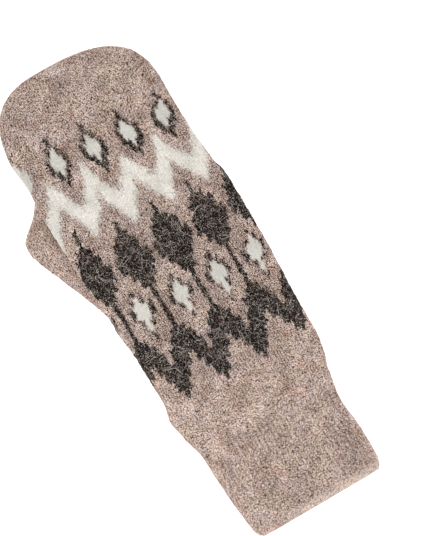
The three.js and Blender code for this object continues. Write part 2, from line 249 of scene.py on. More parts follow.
def hand_section(length, wall):
    """The section at a length along the hand, and its height."""
    lengths, shares = tip_lengths(wall)
    share = np.interp(length - TIP_START, lengths, shares)
    section = inset(*read_table(BODY_SECTIONS, np.minimum(length, TIP_START)), wall)
    kept = {side: (1 - share**power) ** (1 / power) for side, power in TIP_ROUND.items()}
    for side in ("left", "right"):
        rounded = TIP_PEAK + (section[side] - TIP_PEAK) * kept[side]
        section[side] = np.where(share > 0, rounded, section[side])
    for edge, side in (("top", "back"), ("low", "palm")):
        section[edge] = section["side"] + (section[edge] - section["side"]) * kept[side]
    return section, np.minimum(length, TIP_START) + share * (TIP_LENGTH - wall)


HAND_END = TIP_START + tip_lengths(0)[0][-1]
print("from the cast-on edge to the tip along the back:", round(HAND_END, 1), "mm")

# %% [markdown]
# ## The chart
# Stranded knitting carries two yarns along each course, and the chart says which one makes each stitch. This
# pattern repeats every eight stitches and is a mirror image about each diamond, so a row is written from the
# small diamond's column out to the big diamond's: o is the off-white yarn, # the charcoal one, + a thin white
# stitch and . the heather ground. Courses that are knitted alike are written once, with how many there are.

# %% The bands of pattern, from the fingertips down
BANDS = [
    (3, "#...."), (2, "o#..."), (4, "oo#.."), (1, "o##.+"), (1, "o#..+"), (1, "##..+"),
    (1, "#...o"), (1, "#..oo"), (2, "...oo"), (2, "..ooo"), (2, ".ooo."), (2, "oooo."), (2, "ooo.."),
    (2, "oo..."), (1, "oo..#"), (1, "o...#"), (2, "+...#"), (2, "...##"), (4, "..###"), (5, ".####"),
    (3, "..###"), (2, "...##"), (1, "#..##"), (1, "#...#"), (2, "o#..#"), (4, "oo#.#"), (2, "o#..#"),
    (2, "o...#"), (1, "#...#"), (1, "#..##"), (1, "...##"), (3, "..###"), (3, ".####"), (1, ".###."),
    (2, "####."), (3, "###.."), (3, "##..."), (2, "#...."),
]
CHART = [row for count, row in BANDS for _ in range(count)][::-1]
WHITE_OF_STITCH = {"o": 1.0, "+": 0.9}
WHITE = np.array([[WHITE_OF_STITCH.get(stitch, 0.0) for stitch in row] for row in CHART])
CHARCOAL = np.array([[float(stitch == "#") for stitch in row] for row in CHART])
REPEAT = 8
STITCH = 2.7  # one stitch across
COURSE = 2.0625  # one course of felted knitting
CHART_FOOT = 85.6
CHART_TOP = 248.9
# courses of the chart, counted from its foot, and how far up the hand they lie
CHART_PLACES = ([0, 58, len(CHART)], [CHART_FOOT, 204.6, CHART_TOP])
print(len(CHART), "courses of pattern, from", CHART_FOOT, "to", CHART_TOP, "mm up")


# %% Looking a stitch up
def from_diamond(wale):
    """How many wales it is to the nearest column of small diamonds."""
    return abs((wale + REPEAT / 2) % REPEAT - REPEAT / 2)


def stitch_yarns(wale, course):
    """How much white and charcoal yarn lies at a wale and a course, counted from the chart's lowest one."""
    column = from_diamond(np.rint(wale)).astype(int)
    row = np.floor(course).astype(int)
    charted = (row >= 0) & (row < len(CHART))
    row = np.clip(row, 0, len(CHART) - 1)
    return WHITE[row, column] * charted, CHARCOAL[row, column] * charted


print("white and charcoal at wale 0, course 20:", *stitch_yarns(np.array([0.0]), np.array([20.5])))

# %% [markdown]
# ## Where the stitches lie
# On a worn and felted mitten the columns of stitches, the wales, aren't quite straight, and the courses
# slope: near the fingertips they drop towards the little finger. Two small tables hold this. Round the palm
# the rest of the 72 stitches share the room that is left.

# %% Tables of wales and courses
HAND_WALES = 72
SEAM_WALE = -18.5  # the flat knitting is cut open here, on the palm's side
# length, x of wale 0, width of a repeat, wales that are pulled over the left fold
WALE_TABLE = np.array([
    (62, -6.5, 23.6, 0), (88, -6.4, 24.0, 0), (107, -5.9, 23.2, 0), (139, -5.6, 23.4, 0),
    (167, -6.7, 23.3, 0), (186, -6.3, 22.7, 0), (205, -6.5, 21.9, 0), (215, -6.6, 21.5, 0.6),
    (224, -6.8, 21.1, 1.8), (234, -7.0, 20.8, 1.8), (TIP_START, -7.1, 20.5, 1.6),
])
PULLED_FROM = -10.5  # the wale where that pull begins
# length, lean of the courses, bow of the courses
LEAN_TABLE = np.array([
    (62, 0, 0.0003), (86, -0.002, 0.0018), (107, -0.020, 0.0012), (126, -0.030, 0.0010),
    (139, -0.010, 0.0015), (168, -0.020, 0.0008), (186, -0.015, 0.0006), (205, -0.060, 0.0002),
    (218, -0.085, 0.0), (232, -0.105, 0.0), (244, -0.145, 0.0), (256, -0.100, 0.0), (270, -0.030, 0.0),
    (HAND_END, 0, 0),
])
LEAN_FROM = -6.2  # the x that a lean turns about
BOW_FROM = 8.0
LEVEL_AT = {"foot": 18, "tip": 22}  # the courses lie level at both ends and slope this far from them
SHORT_OF_TIP = 0.05  # the last section is taken just before the tip closes
LENGTHS_READ = 120
print("a repeat is", WALE_TABLE[:, 2].min(), "to", WALE_TABLE[:, 2].max(), "mm wide")


# %% Finding the wales on the form
def wale_places(wales, lengths, wall):
    """How far across and up each wale lies at each length. Over the tip it keeps its share of the back."""
    across, up = [], []
    crown = None
    for length in lengths:
        section, _ = hand_section(np.array(min(length, lengths[-1] - SHORT_OF_TIP)), wall)
        x, arc = round_outline(section)
        back, palm = arc[RIGHT_FOLD], arc[-1] - arc[RIGHT_FOLD]
        if length <= TIP_START or crown is None:
            x_zero, repeat, pulled = [float(v) for v in read_table(WALE_TABLE, np.array(length))]
            zero = np.interp(x_zero, x[: RIGHT_FOLD + 1], arc[: RIGHT_FOLD + 1])
            wide = repeat / REPEAT
            crown = (zero / back, wide / back)
        else:
            zero, wide = crown[0] * back, crown[1] * back
        left, right = pulled - zero / wide, (back - zero) / wide
        wale = np.where(wales < left, wales + HAND_WALES, wales)
        over = np.clip((PULLED_FROM - wale) / (PULLED_FROM - left), 0, 1)
        on_back_at = zero + (wale - pulled * over**2) * wide
        on_palm_at = back + (wale - right) * palm / (HAND_WALES - right + left)
        found = at_length_round(arc, np.where(wale <= right, on_back_at, on_palm_at))
        across.append(found[0])
        up.append(found[1])
    return np.array(across), np.array(up)


def between(rows, lengths, at):
    """A row of numbers for each length, read column by column at other lengths."""
    f = np.clip((at - lengths[0]) / (lengths[1] - lengths[0]), 0, len(lengths) - 1.0001)
    i = f.astype(int)
    j = np.arange(rows.shape[1])[None, :]
    return rows[i, j] * (1 - (f - i)) + rows[i + 1, j] * (f - i)


# %% [markdown]
# ## What a stitch looks like
# Seen from the right side a knit stitch is a V: two legs that lean outwards, with a groove between them and
# another between the wales. Moving the middle of each wale down by most of a course turns the square grid
# into Vs, and raising the legs a third of a millimetre gives them their relief. Felting has blurred it, so
# the relief comes and goes.

# %% Random waves, legs and grooves
LEG_HEIGHT = 0.34
V_DEPTH = 0.85  # of a course
BEAD = {"foot": 0.62, "rise": 0.494}  # each stitch is thicker in its middle than at its ends


def ripple(points, size, seed, waves=28):
    """Smooth random waves of about that size over a grid of points, with a mean of 0 and a spread of 1."""
    dice = np.random.default_rng(seed)
    ways = dice.normal(size=(waves, 3))
    ways *= (2 * np.pi / size * dice.uniform(0.55, 1.7, waves) / np.linalg.norm(ways, axis=1))[:, None]
    turns = points.reshape(-1, 3) @ ways.T + dice.uniform(0, 2 * np.pi, waves)
    return (np.cos(turns).sum(-1) * math.sqrt(2 / waves)).reshape(points.shape[:-1])


def patchy(points, size, seed, mean, spread, least, most):
    """A share for each point that comes and goes in patches of about that size."""
    return np.clip(mean + spread * ripple(points, size, seed), least, most)


def wale_middle(wale):
    """1 in the middle of a wale, and 0 between two."""
    return 1 - abs(2 * ((wale + 0.5) % 1.0) - 1)


def leg_shape(wale, course):
    """0 in the grooves and about 1 on the legs of the stitches."""
    legs = abs(np.sin(2 * np.pi * (wale + 0.5)))
    return legs * (BEAD["foot"] + BEAD["rise"] * np.sin(np.pi * (course % 1.0)) ** 2)


def outward(points):
    """The outward direction at each point of a closed grid."""
    onwards = np.roll(points, -1, axis=1) - np.roll(points, 1, axis=1)
    normal = np.cross(onwards, np.gradient(points, axis=0))
    return normal / np.maximum(np.linalg.norm(normal, axis=-1, keepdims=True), 1e-9)


print("a leg stands", LEG_HEIGHT, "mm high, and a V is", round(V_DEPTH * COURSE, 2), "mm deep")

# %% The grid of the hand
BACK_WALES = 39  # these are seen from above, so they have more points
BACK_POINTS = 4  # to a stitch
PALM_POINTS = 3
COURSE_POINTS = 3  # to a course
HEEL_ROWS = 34  # of points, from the cuff up to the chart
FADE = {"rows": 2, "from": 14, "to": 3}  # the stitches run out at the wrist and before the tip


def stitch_columns(first, last, a_stitch):
    """Places from one wale up to another, so many to a stitch."""
    return first + np.arange((last - first) * a_stitch) / a_stitch


hand_columns = np.concatenate([
    stitch_columns(SEAM_WALE, SEAM_WALE + BACK_WALES, BACK_POINTS),
    stitch_columns(SEAM_WALE + BACK_WALES, SEAM_WALE + HAND_WALES, PALM_POINTS),
])
tip_rows = COURSE_POINTS * round((HAND_END - CHART_TOP) / COURSE)
hand_rows = np.concatenate([
    np.linspace(HAND_FOOT, CHART_FOOT, HEEL_ROWS)[:-1],
    np.interp(np.arange(COURSE_POINTS * len(CHART)) / COURSE_POINTS, *CHART_PLACES),
    np.linspace(CHART_TOP, HAND_END, tip_rows + 1),
])
hand_courses = (np.arange(len(hand_rows)) - (HEEL_ROWS - 1)) / COURSE_POINTS
print(len(hand_columns), "columns and", len(hand_rows), "rows of points for the hand")


# %% The hand's outer skin, before its stitches are raised
def slanted(rows, columns, lengths, across):
    """The length along the hand of each point, with the lean and the bow of its course."""
    flat = rows[:, None] + 0 * columns[None, :]
    section, _ = hand_section(flat, 0.0)
    x, _ = flat_place(section, between(across, lengths, flat), 0 * flat)
    lean, bow = read_table(LEAN_TABLE, flat)
    settle = ramp(HAND_FOOT, HAND_FOOT + LEVEL_AT["foot"], flat)
    settle = settle * (1 - ramp(HAND_END - LEVEL_AT["tip"], HAND_END, flat))
    return flat + settle * (lean * (x - LEAN_FROM) + bow * (x - BOW_FROM) ** 2)


def hand_skin(rows, columns):
    """The points of the hand, and how far its stitches are raised at each."""
    lengths = np.linspace(HAND_FOOT, HAND_END, LENGTHS_READ)
    across, up = wale_places(columns, lengths, 0.0)
    at = slanted(rows, columns, lengths, across)
    fade = ramp(0, FADE["rows"], np.arange(len(rows)))[:, None]
    fade = fade * (1 - ramp(HAND_END - FADE["from"], HAND_END - FADE["to"], rows))[:, None]
    at = np.clip(at - V_DEPTH * COURSE * wale_middle(columns)[None, :] * fade, HAND_FOOT, HAND_END)
    section, y = hand_section(at, 0.0)
    return body_place(section, between(across, lengths, at), between(up, lengths, at), y), fade


hand_base, hand_fade = hand_skin(hand_rows, hand_columns)
print("the hand lies from", hand_base.min((0, 1)).round(2), "to", hand_base.max((0, 1)).round(2))

# %% Raising the stitches
FELTED = {"size": 14, "mean": 0.62, "spread": 0.34, "least": 0.15, "most": 1.1}
LUMPS = ((0.10, 5.5), (0.07, 2.4))  # how high and how large
MEAN_LEG = 0.6


def raised(base, wale, course, fade, leg_height, seed):
    """The grid with its stitches raised, its outward directions, and how deep in a groove each point is."""
    normals = outward(base)
    felting = patchy(base, seed=seed, **FELTED)
    legs = leg_shape(wale, course)
    lumps = sum(high * ripple(base, size, seed + 1 + k) for k, (high, size) in enumerate(LUMPS))
    rise = (leg_height * felting * (legs - MEAN_LEG) + lumps) * fade
    points = base + normals * rise[..., None]
    points[..., 2] = np.maximum(points[..., 2], OFF_FLOOR)
    return points, normals, (1 - legs) * felting * fade


hand_points, hand_normals, hand_groove = raised(
    hand_base, hand_columns[None, :], hand_courses[:, None], hand_fade, LEG_HEIGHT, 11
)
print("felting and stitches move points by up to", round(float(abs(hand_points - hand_base).max()), 2), "mm")

# %% [markdown]
# ## Colouring by the chart
# Each point looks up its stitch in the chart. A little random wandering of the place that is looked up makes
# the borders as uneven as felted yarn: no stitch is exactly like its neighbour. The result is kept as two
# weights on the mesh, and the material decides where fibres of one yarn cross over the other.

# %% White and charcoal weights
# x, y, radius of the places that felting has tugged out of line, and by how much across and up
TUGS = [
    (-41, 201, 12, 0.0, 4.6), (-20, 150, 10, 0.3, 1.6), (24, 150, 10, -0.3, 1.4), (-43, 150, 9, 0.3, 0.8),
    (-17, 222, 9, 0.0, 2.2), (4, 219, 8, 0.3, -1.8), (-39, 219, 8, 0.8, -0.2), (-30, 193, 8, 0.0, 1.6),
    (-50, 234, 8, 2.4, -5.0), (36, 229, 10, 0.0, 1.8), (39, 238, 8, 4.2, 0.0), (35, 218, 7, -1.4, 0.0),
    (41, 95, 11, 2.2, -1.2), (43, 148, 8, 1.6, 0.0), (28, 168, 14, 1.0, 0.0), (13, 170, 8, 1.4, 0.0),
    (-6, 125, 6, 0.0, 3.2),
]


def wander(points, wale, course, seed):
    """The wale and course that each point looks up: its own, moved as felting has moved the yarn."""
    sideways = 0.09 * ripple(points, 3.2, seed) + 0.08 * ripple(points, 12, seed + 1)
    lengthways = 0.18 * ripple(points, 3.0, seed + 2) + 0.12 * ripple(points, 14, seed + 3)
    for x, y, radius, tug_across, tug_up in TUGS:
        near = np.exp(-((points[..., 0] - x) ** 2 + (points[..., 1] - y) ** 2) / radius**2)
        sideways -= tug_across / STITCH * near
        lengthways -= tug_up / COURSE * near
    return wale + sideways, course + lengthways


hand_wale, hand_course = wander(hand_base, hand_columns[None, :], hand_courses[:, None], 31)
_, hand_charcoal = stitch_yarns(hand_wale, hand_course)
print("felting moves the pattern at", len(TUGS), "places")


# %% Rounded diamonds and the brushed zigzag
def softened(across, up):
    """The white and charcoal weights, averaged over so many stitches across and courses up."""
    shares = [-1, -0.5, 0, 0.5, 1]
    return sum(
        np.stack(stitch_yarns(hand_wale + a * across, hand_course + b * up)) for a in shares for b in shares
    ) / len(shares) ** 2


SMALL_DIAMONDS = ((17, 32), (63, 78))  # courses that the small diamonds take up
DIAMOND_SIDE = (2.5, 3.2)  # wales from a small diamond's column over which its effect ends
ZIGZAG_FOOT = (44, 47)  # courses over which the broad zigzag begins
ZIGZAG_SIDE = (1.6, 2.1)  # higher up, it takes in only what is further than this from a small diamond
ZIGZAG_HIGH = (60.5, 62.5)
CRISP = 1.4  # how much more sudden the borders of the other whites are made

# Felting has rounded the small diamonds. The broad zigzag is brushed as well: its edges fade over a stitch.
brushed, _ = softened(0.6, 1.8)
rounded_white, rounded_charcoal = softened(0.32, 0.8)
off_diamond = from_diamond(hand_wale)
in_lower, in_upper = [
    ramp(a, a + 1, hand_course) * (1 - ramp(b - 1, b, hand_course)) * (1 - ramp(*DIAMOND_SIDE, off_diamond))
    for a, b in SMALL_DIAMONDS
]
in_small = in_lower + in_upper
beside_diamond = np.maximum(ramp(*ZIGZAG_SIDE, off_diamond), 1 - ramp(*ZIGZAG_HIGH, hand_course))
in_zigzag = ramp(*ZIGZAG_FOOT, hand_course) * beside_diamond
crisp = np.clip(0.5 + CRISP * (rounded_white - 0.5), 0, 1)
hand_white = crisp * (1 - in_zigzag) + brushed * in_zigzag
print("share of white", round(float(hand_white.mean()), 3))

# %% Thin, patchy and worn charcoal
THINNED = 0.75  # how much of its edge a single column loses
PATCHY_OUTLINE = {"size": 6, "mean": 0.0, "spread": 0.25, "least": 0, "most": 0.6}

# A column of charcoal that stands alone has sunk in between its neighbours, and looks thinner than a stitch.
beside = [stitch_yarns(hand_wale + side, hand_course) for side in (-1, 1)]
alone = 1 - np.clip(sum(white + charcoal for white, charcoal in beside), 0, 1)
off_centre = abs(hand_wale - np.rint(hand_wale))
hand_charcoal = hand_charcoal * (1 - THINNED * alone * ramp(0.38, 0.50, off_centre))
full_charcoal = np.clip(1.12 * rounded_charcoal, 0, 1)
hand_charcoal = hand_charcoal * (1 - in_small) + full_charcoal * in_small
# The outlines of the lower small diamonds are patchy.
hand_charcoal = hand_charcoal * (1 - patchy(hand_base, seed=91, **PATCHY_OUTLINE) * in_lower)
# Where the last diamond goes round the fold, its dark edge is worn.
hand_charcoal = hand_charcoal * (1 - 0.7 * ramp(-13.0, -14.0, hand_wale) * ramp(60, 62, hand_course))
print("share of charcoal", round(float(hand_charcoal.mean()), 3))

# %% [markdown]
# ## Painted light and shade
# Painted light makes the wool paler at the heel, most at its left, and along its folds. Painted shade makes
# the tip darker, where it turns from the light, and the patterned part is a little darker. This is one more
# number on each point.

# %% Painted light and shade
HEEL = {"y": 62, "reach": 26, "paler": 2.1, "less_in_middle": 0.8, "less_at_right": 0.6}
PALER = {"folds": 1.2, "strong_fold_light": 2.4, "tip": 0.95, "patterned": 0.6}


def side_room(points):
    """How far each point lies from the nearer side of the mitten."""
    x = points[..., 0]
    return np.minimum(x - x.min(axis=1, keepdims=True), x.max(axis=1, keepdims=True) - x)


def painted_light_and_tone(points):
    """How much paler the wool is painted at each point, as painted light, or below 0 how much darker."""
    x, y = points[..., 0], points[..., 1]
    room = side_room(points)
    # Painted light: the heel is paler, most at its left.
    heel = np.exp(-(((y - HEEL["y"]) / HEEL["reach"]) ** 2)) * (
        HEEL["paler"] - HEEL["less_in_middle"] * ramp(-35, 0, x) - HEEL["less_at_right"] * ramp(0, 40, x)
    )
    # Painted shade: the tip is darker where it turns from the light.
    tip = ramp(238, 276, y) * (1 - 0.6 * ramp(-20, 20, x))
    folds = (1 - ramp(0.5, 4.5, room)) * (1 - ramp(205, 235, y))
    # Most painted light of all goes on the fold of the cuff at the right, and on the one of the hand low at
    # the left.
    strong_fold_light = (1 - ramp(1.5, 7.0, room)) * (1 - ramp(110, 130, y))
    strong_fold_light = strong_fold_light * np.where(x > 0, 1 - ramp(50, 62, y), ramp(62, 85, y))
    # The patterned band is a little darker.
    patterned = ramp(105, 130, y) * (1 - ramp(195, 215, y))
    paler = heel + PALER["folds"] * folds + PALER["strong_fold_light"] * strong_fold_light
    return paler - PALER["tip"] * tip - PALER["patterned"] * patterned


hand_painted_light_and_tone = painted_light_and_tone(hand_base)
print("rubbed from", round(float(hand_painted_light_and_tone.min()), 2), "to", round(float(hand_painted_light_and_tone.max()), 2))

# %% [markdown]
# ## From flat knitting to a tube
# The plane version of the piece is Blender's own grid. Its points are laid round the form, its two long edges
# meet in a seam, and its top edge draws together in one point at the tip; merging by distance closes both.

# %% From the plan to the shared frame, and back
PLAN_SHIFT = np.array([cad_box["hand"][1].x / MM - hand_base[..., 0].max(), cad_box["cuff"][0].y / MM, 0.0])
print("the plan is moved by", PLAN_SHIFT.round(2), "mm")


def to_frame(points):
    """Millimetres of the mitten's plan into metres of the shared frame."""
    return (points + PLAN_SHIFT) * MM


def on_plan(place):
    """A place of the shared frame, in metres, as x and y of the plan in millimetres."""
    return place.x / MM - PLAN_SHIFT[0], place.y / MM - PLAN_SHIFT[1]


# %% Bending a grid round the form
MERGE = 0.000002


def keep_values(mesh, values):
    """Keeps a number for each point of a mesh, under each name."""
    for key, value in values.items():
        layer = mesh.attributes.new(key, "FLOAT", "POINT")
        layer.data.foreach_set("value", value.reshape(-1).astype(np.float32))


def closed(grid):
    """A grid with its first column once more at the end."""
    return np.concatenate([grid, grid[:, :1]], axis=1)


def knit(name, points, wale, course, values, inwards=False):
    """A grid of points as a closed tube, with its stitches as a UV map and values on its points."""
    rows, columns = points.shape[:2]
    bpy.ops.object.select_all(action="DESELECT")
    bpy.ops.mesh.primitive_grid_add(x_subdivisions=columns, y_subdivisions=rows - 1, size=1)
    piece = bpy.context.object
    piece.name = piece.data.name = name
    mesh = piece.data
    mesh.vertices.foreach_set("co", to_frame(closed(points)).reshape(-1).astype(np.float32))
    all_wales = round(wale[-1] - wale[0] + (wale[1] - wale[0]))
    wales = np.append(wale, wale[0] + all_wales)
    stitches = np.stack(np.broadcast_arrays(wales[None, :], course[:, None]), axis=-1).reshape(-1, 2)
    corner = np.empty(len(mesh.loops), np.int32)
    mesh.loops.foreach_get("vertex_index", corner)
    mesh.uv_layers[0].name = "stitches"
    mesh.uv_layers[0].data.foreach_set("uv", stitches[corner].reshape(-1).astype(np.float32))
    keep_values(mesh, {key: closed(value) for key, value in values.items()})
    mesh.update()
    bpy.ops.object.mode_set(mode="EDIT")
    bpy.ops.mesh.select_all(action="SELECT")
    bpy.ops.mesh.remove_doubles(threshold=MERGE)
    if inwards:
        bpy.ops.mesh.flip_normals()
    bpy.ops.object.mode_set(mode="OBJECT")
    print(name, "has", len(mesh.polygons), "faces")
    return piece


# %% The hand's outer skin
hand = knit("hand_knitting", hand_points, hand_columns, hand_courses,
            {"white": hand_white, "charcoal": hand_charcoal, "groove": hand_groove, "painted_light_and_tone": hand_painted_light_and_tone,
             "small": in_small})

# %% [markdown]
# ## The inside of the hand
# The wall is as thick as two strands of felted yarn. Nobody sees the inside past the cuff, so it is a plainer
# grid, drawn the same way from the sections with the wall taken off. At the wrist the two skins are bridged.

# %% The hand's inner skin
INNER_COLUMNS = 104
inner_columns = SEAM_WALE + np.arange(INNER_COLUMNS) * HAND_WALES / INNER_COLUMNS
inner_rows = np.concatenate([np.linspace(HAND_FOOT, TIP_START, 70)[:-1],
                             TIP_START + np.linspace(0, tip_lengths(WALL)[0][-1], 20)])


def inner_hand():
    """The points of the hand's inner skin."""
    lengths = np.linspace(HAND_FOOT, inner_rows[-1], LENGTHS_READ)
    across, up = wale_places(inner_columns, lengths, WALL)
    at = inner_rows[:, None] + 0 * inner_columns[None, :]
    section, y = hand_section(at, WALL)
    return body_place(section, between(across, lengths, at), between(up, lengths, at), y)


hand_lining = knit("hand_inside", inner_hand(), inner_columns, inner_rows / COURSE, {}, inwards=True)


# %% Opening the way into the thumb
def select_only(*pieces):
    """Selects these pieces and nothing else, and works on the first."""
    bpy.ops.object.select_all(action="DESELECT")
    for piece in pieces:
        piece.select_set(True)
    bpy.context.view_layer.objects.active = pieces[0]


def inside_way(x, y, grow):
    """Below 1 inside the oval way, grown by so much, and above 1 outside."""
    along, across = to_thumb(x, y)
    lengthwise = ((along - WAY["along"]) / (WAY["half_length"] + grow)) ** 2
    return lengthwise + (across / (WAY["half_width"] + grow)) ** 2


def open_way(piece, wanted, grow):
    """Cuts the way out of a skin where wanted picks faces by height and slope, and rounds the cut."""
    select_only(piece)
    bpy.ops.object.mode_set(mode="EDIT")
    bpy.ops.mesh.select_all(action="DESELECT")
    mesh = bmesh.from_edit_mesh(piece.data)
    for face in mesh.faces:
        middle = face.calc_center_median()
        if inside_way(*on_plan(middle), grow) < 1 and wanted(middle.z / MM, face.normal.z):
            face.select_set(True)
    bmesh.update_edit_mesh(piece.data)
    bpy.ops.mesh.delete(type="FACE")
    mesh = bmesh.from_edit_mesh(piece.data)
    for vertex in mesh.verts:
        x, y = on_plan(vertex.co)
        inside = inside_way(x, y, grow)
        if vertex.is_boundary and inside < WAY_RIM:
            scale = 1 / math.sqrt(inside)
            along, across = to_thumb(x, y)
            x, y = from_thumb(WAY["along"] + (along - WAY["along"]) * scale, across * scale)
            vertex.co.x, vertex.co.y = (x + PLAN_SHIFT[0]) * MM, (y + PLAN_SHIFT[1]) * MM
    bmesh.update_edit_mesh(piece.data)
    bpy.ops.object.mode_set(mode="OBJECT")
    print(piece.name, "opened,", len(piece.data.polygons), "faces left")


open_way(hand, lambda height, faces_up: faces_up < 0 and height < 15, 0.0)
open_way(hand_lining, lambda height, faces_up: faces_up > 0 and height < 16, 0.0)


# %% Joining two skins and bridging their edges
def join(piece, *others):
    """Makes the others part of the piece."""
    select_only(piece, *others)
    bpy.ops.object.join()


def pick_open_edges(piece, chosen):
    """In edit mode, selects the open edges whose y on the plan chosen picks, and counts them."""
    bpy.ops.mesh.select_mode(type="EDGE")
    bpy.ops.mesh.select_all(action="DESELECT")
    mesh = bmesh.from_edit_mesh(piece.data)
    picked = 0
    for edge in mesh.edges:
        _, y = on_plan((edge.verts[0].co + edge.verts[1].co) / 2)
        if edge.is_boundary and chosen(y):
            edge.select_set(True)
            picked += 1
    bmesh.update_edit_mesh(piece.data)
    return picked


def bridge(piece, chosen):
    """Bridges the two open edges that chosen picks."""
    bpy.ops.object.mode_set(mode="EDIT")
    picked = pick_open_edges(piece, chosen)
    bpy.ops.mesh.bridge_edge_loops()
    bpy.ops.mesh.select_mode(type="VERT")
    bpy.ops.object.mode_set(mode="OBJECT")
    print(piece.name, "bridged over", picked, "edges")


def open_edges(piece):
    """How many edges of a piece don't have exactly two faces."""
    mesh = bmesh.new()
    mesh.from_mesh(piece.data)
    count = sum(1 for edge in mesh.edges if not edge.is_manifold)
    mesh.free()
    return count


join(hand, hand_lining)
bridge(hand, lambda y: y < HAND_FOOT + 1)
bridge(hand, lambda y: y > HAND_FOOT + 5)
print("open edges left in the hand:", open_edges(hand))

# %% [markdown]
# ## The cuff
# One-by-one ribbing: a knit wale stands proud, the purl wale beside it sinks in, and so on 64 times round.
# The ribs run out into the hand. The cast-on edge is rolled over and is painted paler, partly because there
# the yarn is doubled and partly as a painted highlight where the rolled edge faces the light.

# %% Sizes of the ribbing
RIBS = 64
RIB_HEIGHT = 0.9
RIB_FADE = 50  # the ribs run out from here to the end of the cuff
RIB_CLEAR = (15, 35)  # the ribs are clear from here to the right, and blurred in patches elsewhere
BLURRED = {"size": 30, "mean": 0.42, "spread": 0.34, "least": 0.12, "most": 0.9}
BEAD_HEIGHT = 0.22
LUMP_HEIGHT = 0.09
LIP = {"length": 1.4, "round": 0.9}
# The cast-on edge is paler yarn and a painted highlight, palest at the right.
CAST_ON = {"rows": (2.4, 7.0), "left": -26, "right": 2}  # where the paler edge ends, and where it is palest
cuff_columns = np.arange(RIBS * 6) / 6
cuff_rows = np.concatenate([[0, 0.12, 0.4, 0.85], np.linspace(LIP["length"], CUFF_LENGTH, 88)])
inner_cuff_columns = np.arange(RIBS * 4) / 4
inner_cuff_rows = np.concatenate([[0, 0.3, 0.8], np.linspace(LIP["length"], CUFF_LENGTH, 24)])
print(RIBS, "ribs, on", len(cuff_columns), "columns of points")


# %% The form of the ribbing
def ribbed_rise(base, rows, columns, rib_share, outside):
    """How high the ribs, stitches and lumps stand, and how deep in a groove each point is."""
    crest = 2 * abs(np.cos(np.pi * columns)) ** 0.9 - 1
    past_lip = ramp(1.5, 7, rows)
    run_out = (1 - ramp(RIB_FADE, CUFF_LENGTH, rows)) * past_lip
    clear = 0.85 * ramp(*RIB_CLEAR, base[..., 0])
    run_out = run_out[:, None] * np.maximum(patchy(base, seed=53, **BLURRED), clear)
    beads = np.sin(np.pi * ((rows / COURSE)[:, None] + 0.5 * abs(np.cos(np.pi * columns))[None, :])) ** 2
    knitted = BEAD_HEIGHT * beads * (0.4 + 0.6 * (crest > -0.2))[None, :] * outside
    lumps = LUMP_HEIGHT * ripple(base, 4.5, 51) * outside
    groove = np.clip(-crest, 0, 1)[None, :] * run_out + 0.5 * (1 - beads) * past_lip[:, None]
    return 0.5 * RIB_HEIGHT * rib_share * crest[None, :] * run_out + knitted + lumps, groove


def cuff_skin(rows, columns, wall, rib_share, lip):
    """The points of a skin of the cuff, its outward directions, and how deep in a groove each point is."""
    points = []
    for y in rows:
        section = inset(*read_table(BODY_SECTIONS, np.array(float(y))), wall)
        _, arc = round_outline(section)
        across, up = at_length_round(arc, columns / RIBS * arc[-1])
        points.append(body_place(section, across, up, y + 0 * across))
    base = np.array(points)
    normals = outward(base)
    rise, groove = ribbed_rise(base, rows, columns, rib_share, wall == 0)
    ends = ramp(-0.5, 2.5, rows) * (1 - ramp(CUFF_LENGTH - 2.5, CUFF_LENGTH, rows))
    turned = 1 - np.sqrt(1 - (1 - np.clip(rows / LIP["length"], 0, 1)) ** 2)
    rise = rise * ends[:, None] + lip * turned[:, None]
    moved = base + normals * rise[..., None]
    away_from_ends = ramp(0, 3, rows)[:, None] * (1 - ramp(59, CUFF_LENGTH, rows))[:, None]
    moved[..., 1] = base[..., 1] + 0.10 * ripple(base, 7, 52) * away_from_ends
    moved[..., 2] = np.maximum(moved[..., 2], OFF_FLOOR)
    return moved, normals, groove


# %% The ribbed tube
cuff_points, cuff_normals, cuff_groove = cuff_skin(cuff_rows, cuff_columns, 0.0, 1, -LIP["round"])
along_edge = ramp(CAST_ON["left"], CAST_ON["right"], cuff_points[..., 0]) * 0.75 + 0.25
cuff_edge = (1 - ramp(*CAST_ON["rows"], cuff_rows))[:, None] * along_edge
cuff = knit("cuff_ribbing", cuff_points, cuff_columns, cuff_rows / COURSE,
            {"groove": cuff_groove, "cast_on": cuff_edge, "painted_light_and_tone": painted_light_and_tone(cuff_points)})
inner_points, _, inner_groove = cuff_skin(inner_cuff_rows, inner_cuff_columns, WALL, 0.5, LIP["round"])
cuff_lining = knit("cuff_inside", inner_points, inner_cuff_columns, inner_cuff_rows / COURSE,
                   {"groove": inner_groove}, inwards=True)
join(cuff, cuff_lining)
bridge(cuff, lambda y: y < 1)
bridge(cuff, lambda y: y > CUFF_LENGTH - 2)
print("open edges left in the cuff:", open_edges(cuff))

# %% [markdown]
# ## The thumb
# A plain knitted finger, tucked under the palm. It has a frame of its own, from the point of its gusset to
# its tip. Round the way in, both of its skins are drawn up to the palm as a collar.

# %% Sizes of the thumb's knitting
THUMB_WALES = 28
THUMB_LEG_HEIGHT = 0.26
CAPS = (2.0, 116.2)  # the thumb closes before the first of these lengths and after the second
# The hollow's ends, the lengths over which they close, and the last section that it follows
HOLLOW = {"start": 13, "end": 111.8, "foot": 5, "cap": 1.5, "last": 112.5}
BEND = (88, 104)  # the hollow's tip comes sooner than the outside's by the wall, gained over these lengths
thumb_columns = np.arange(THUMB_WALES * 4) / 4
thumb_rows = np.concatenate([np.linspace(0, CAPS[0], 5)[:-1], np.linspace(*CAPS, 166)[:-1],
                             CAPS[1] + np.sin(np.linspace(0, np.pi / 2, 5))])
thumb_courses = thumb_rows / COURSE
print(len(thumb_rows), "rows of points for the thumb")


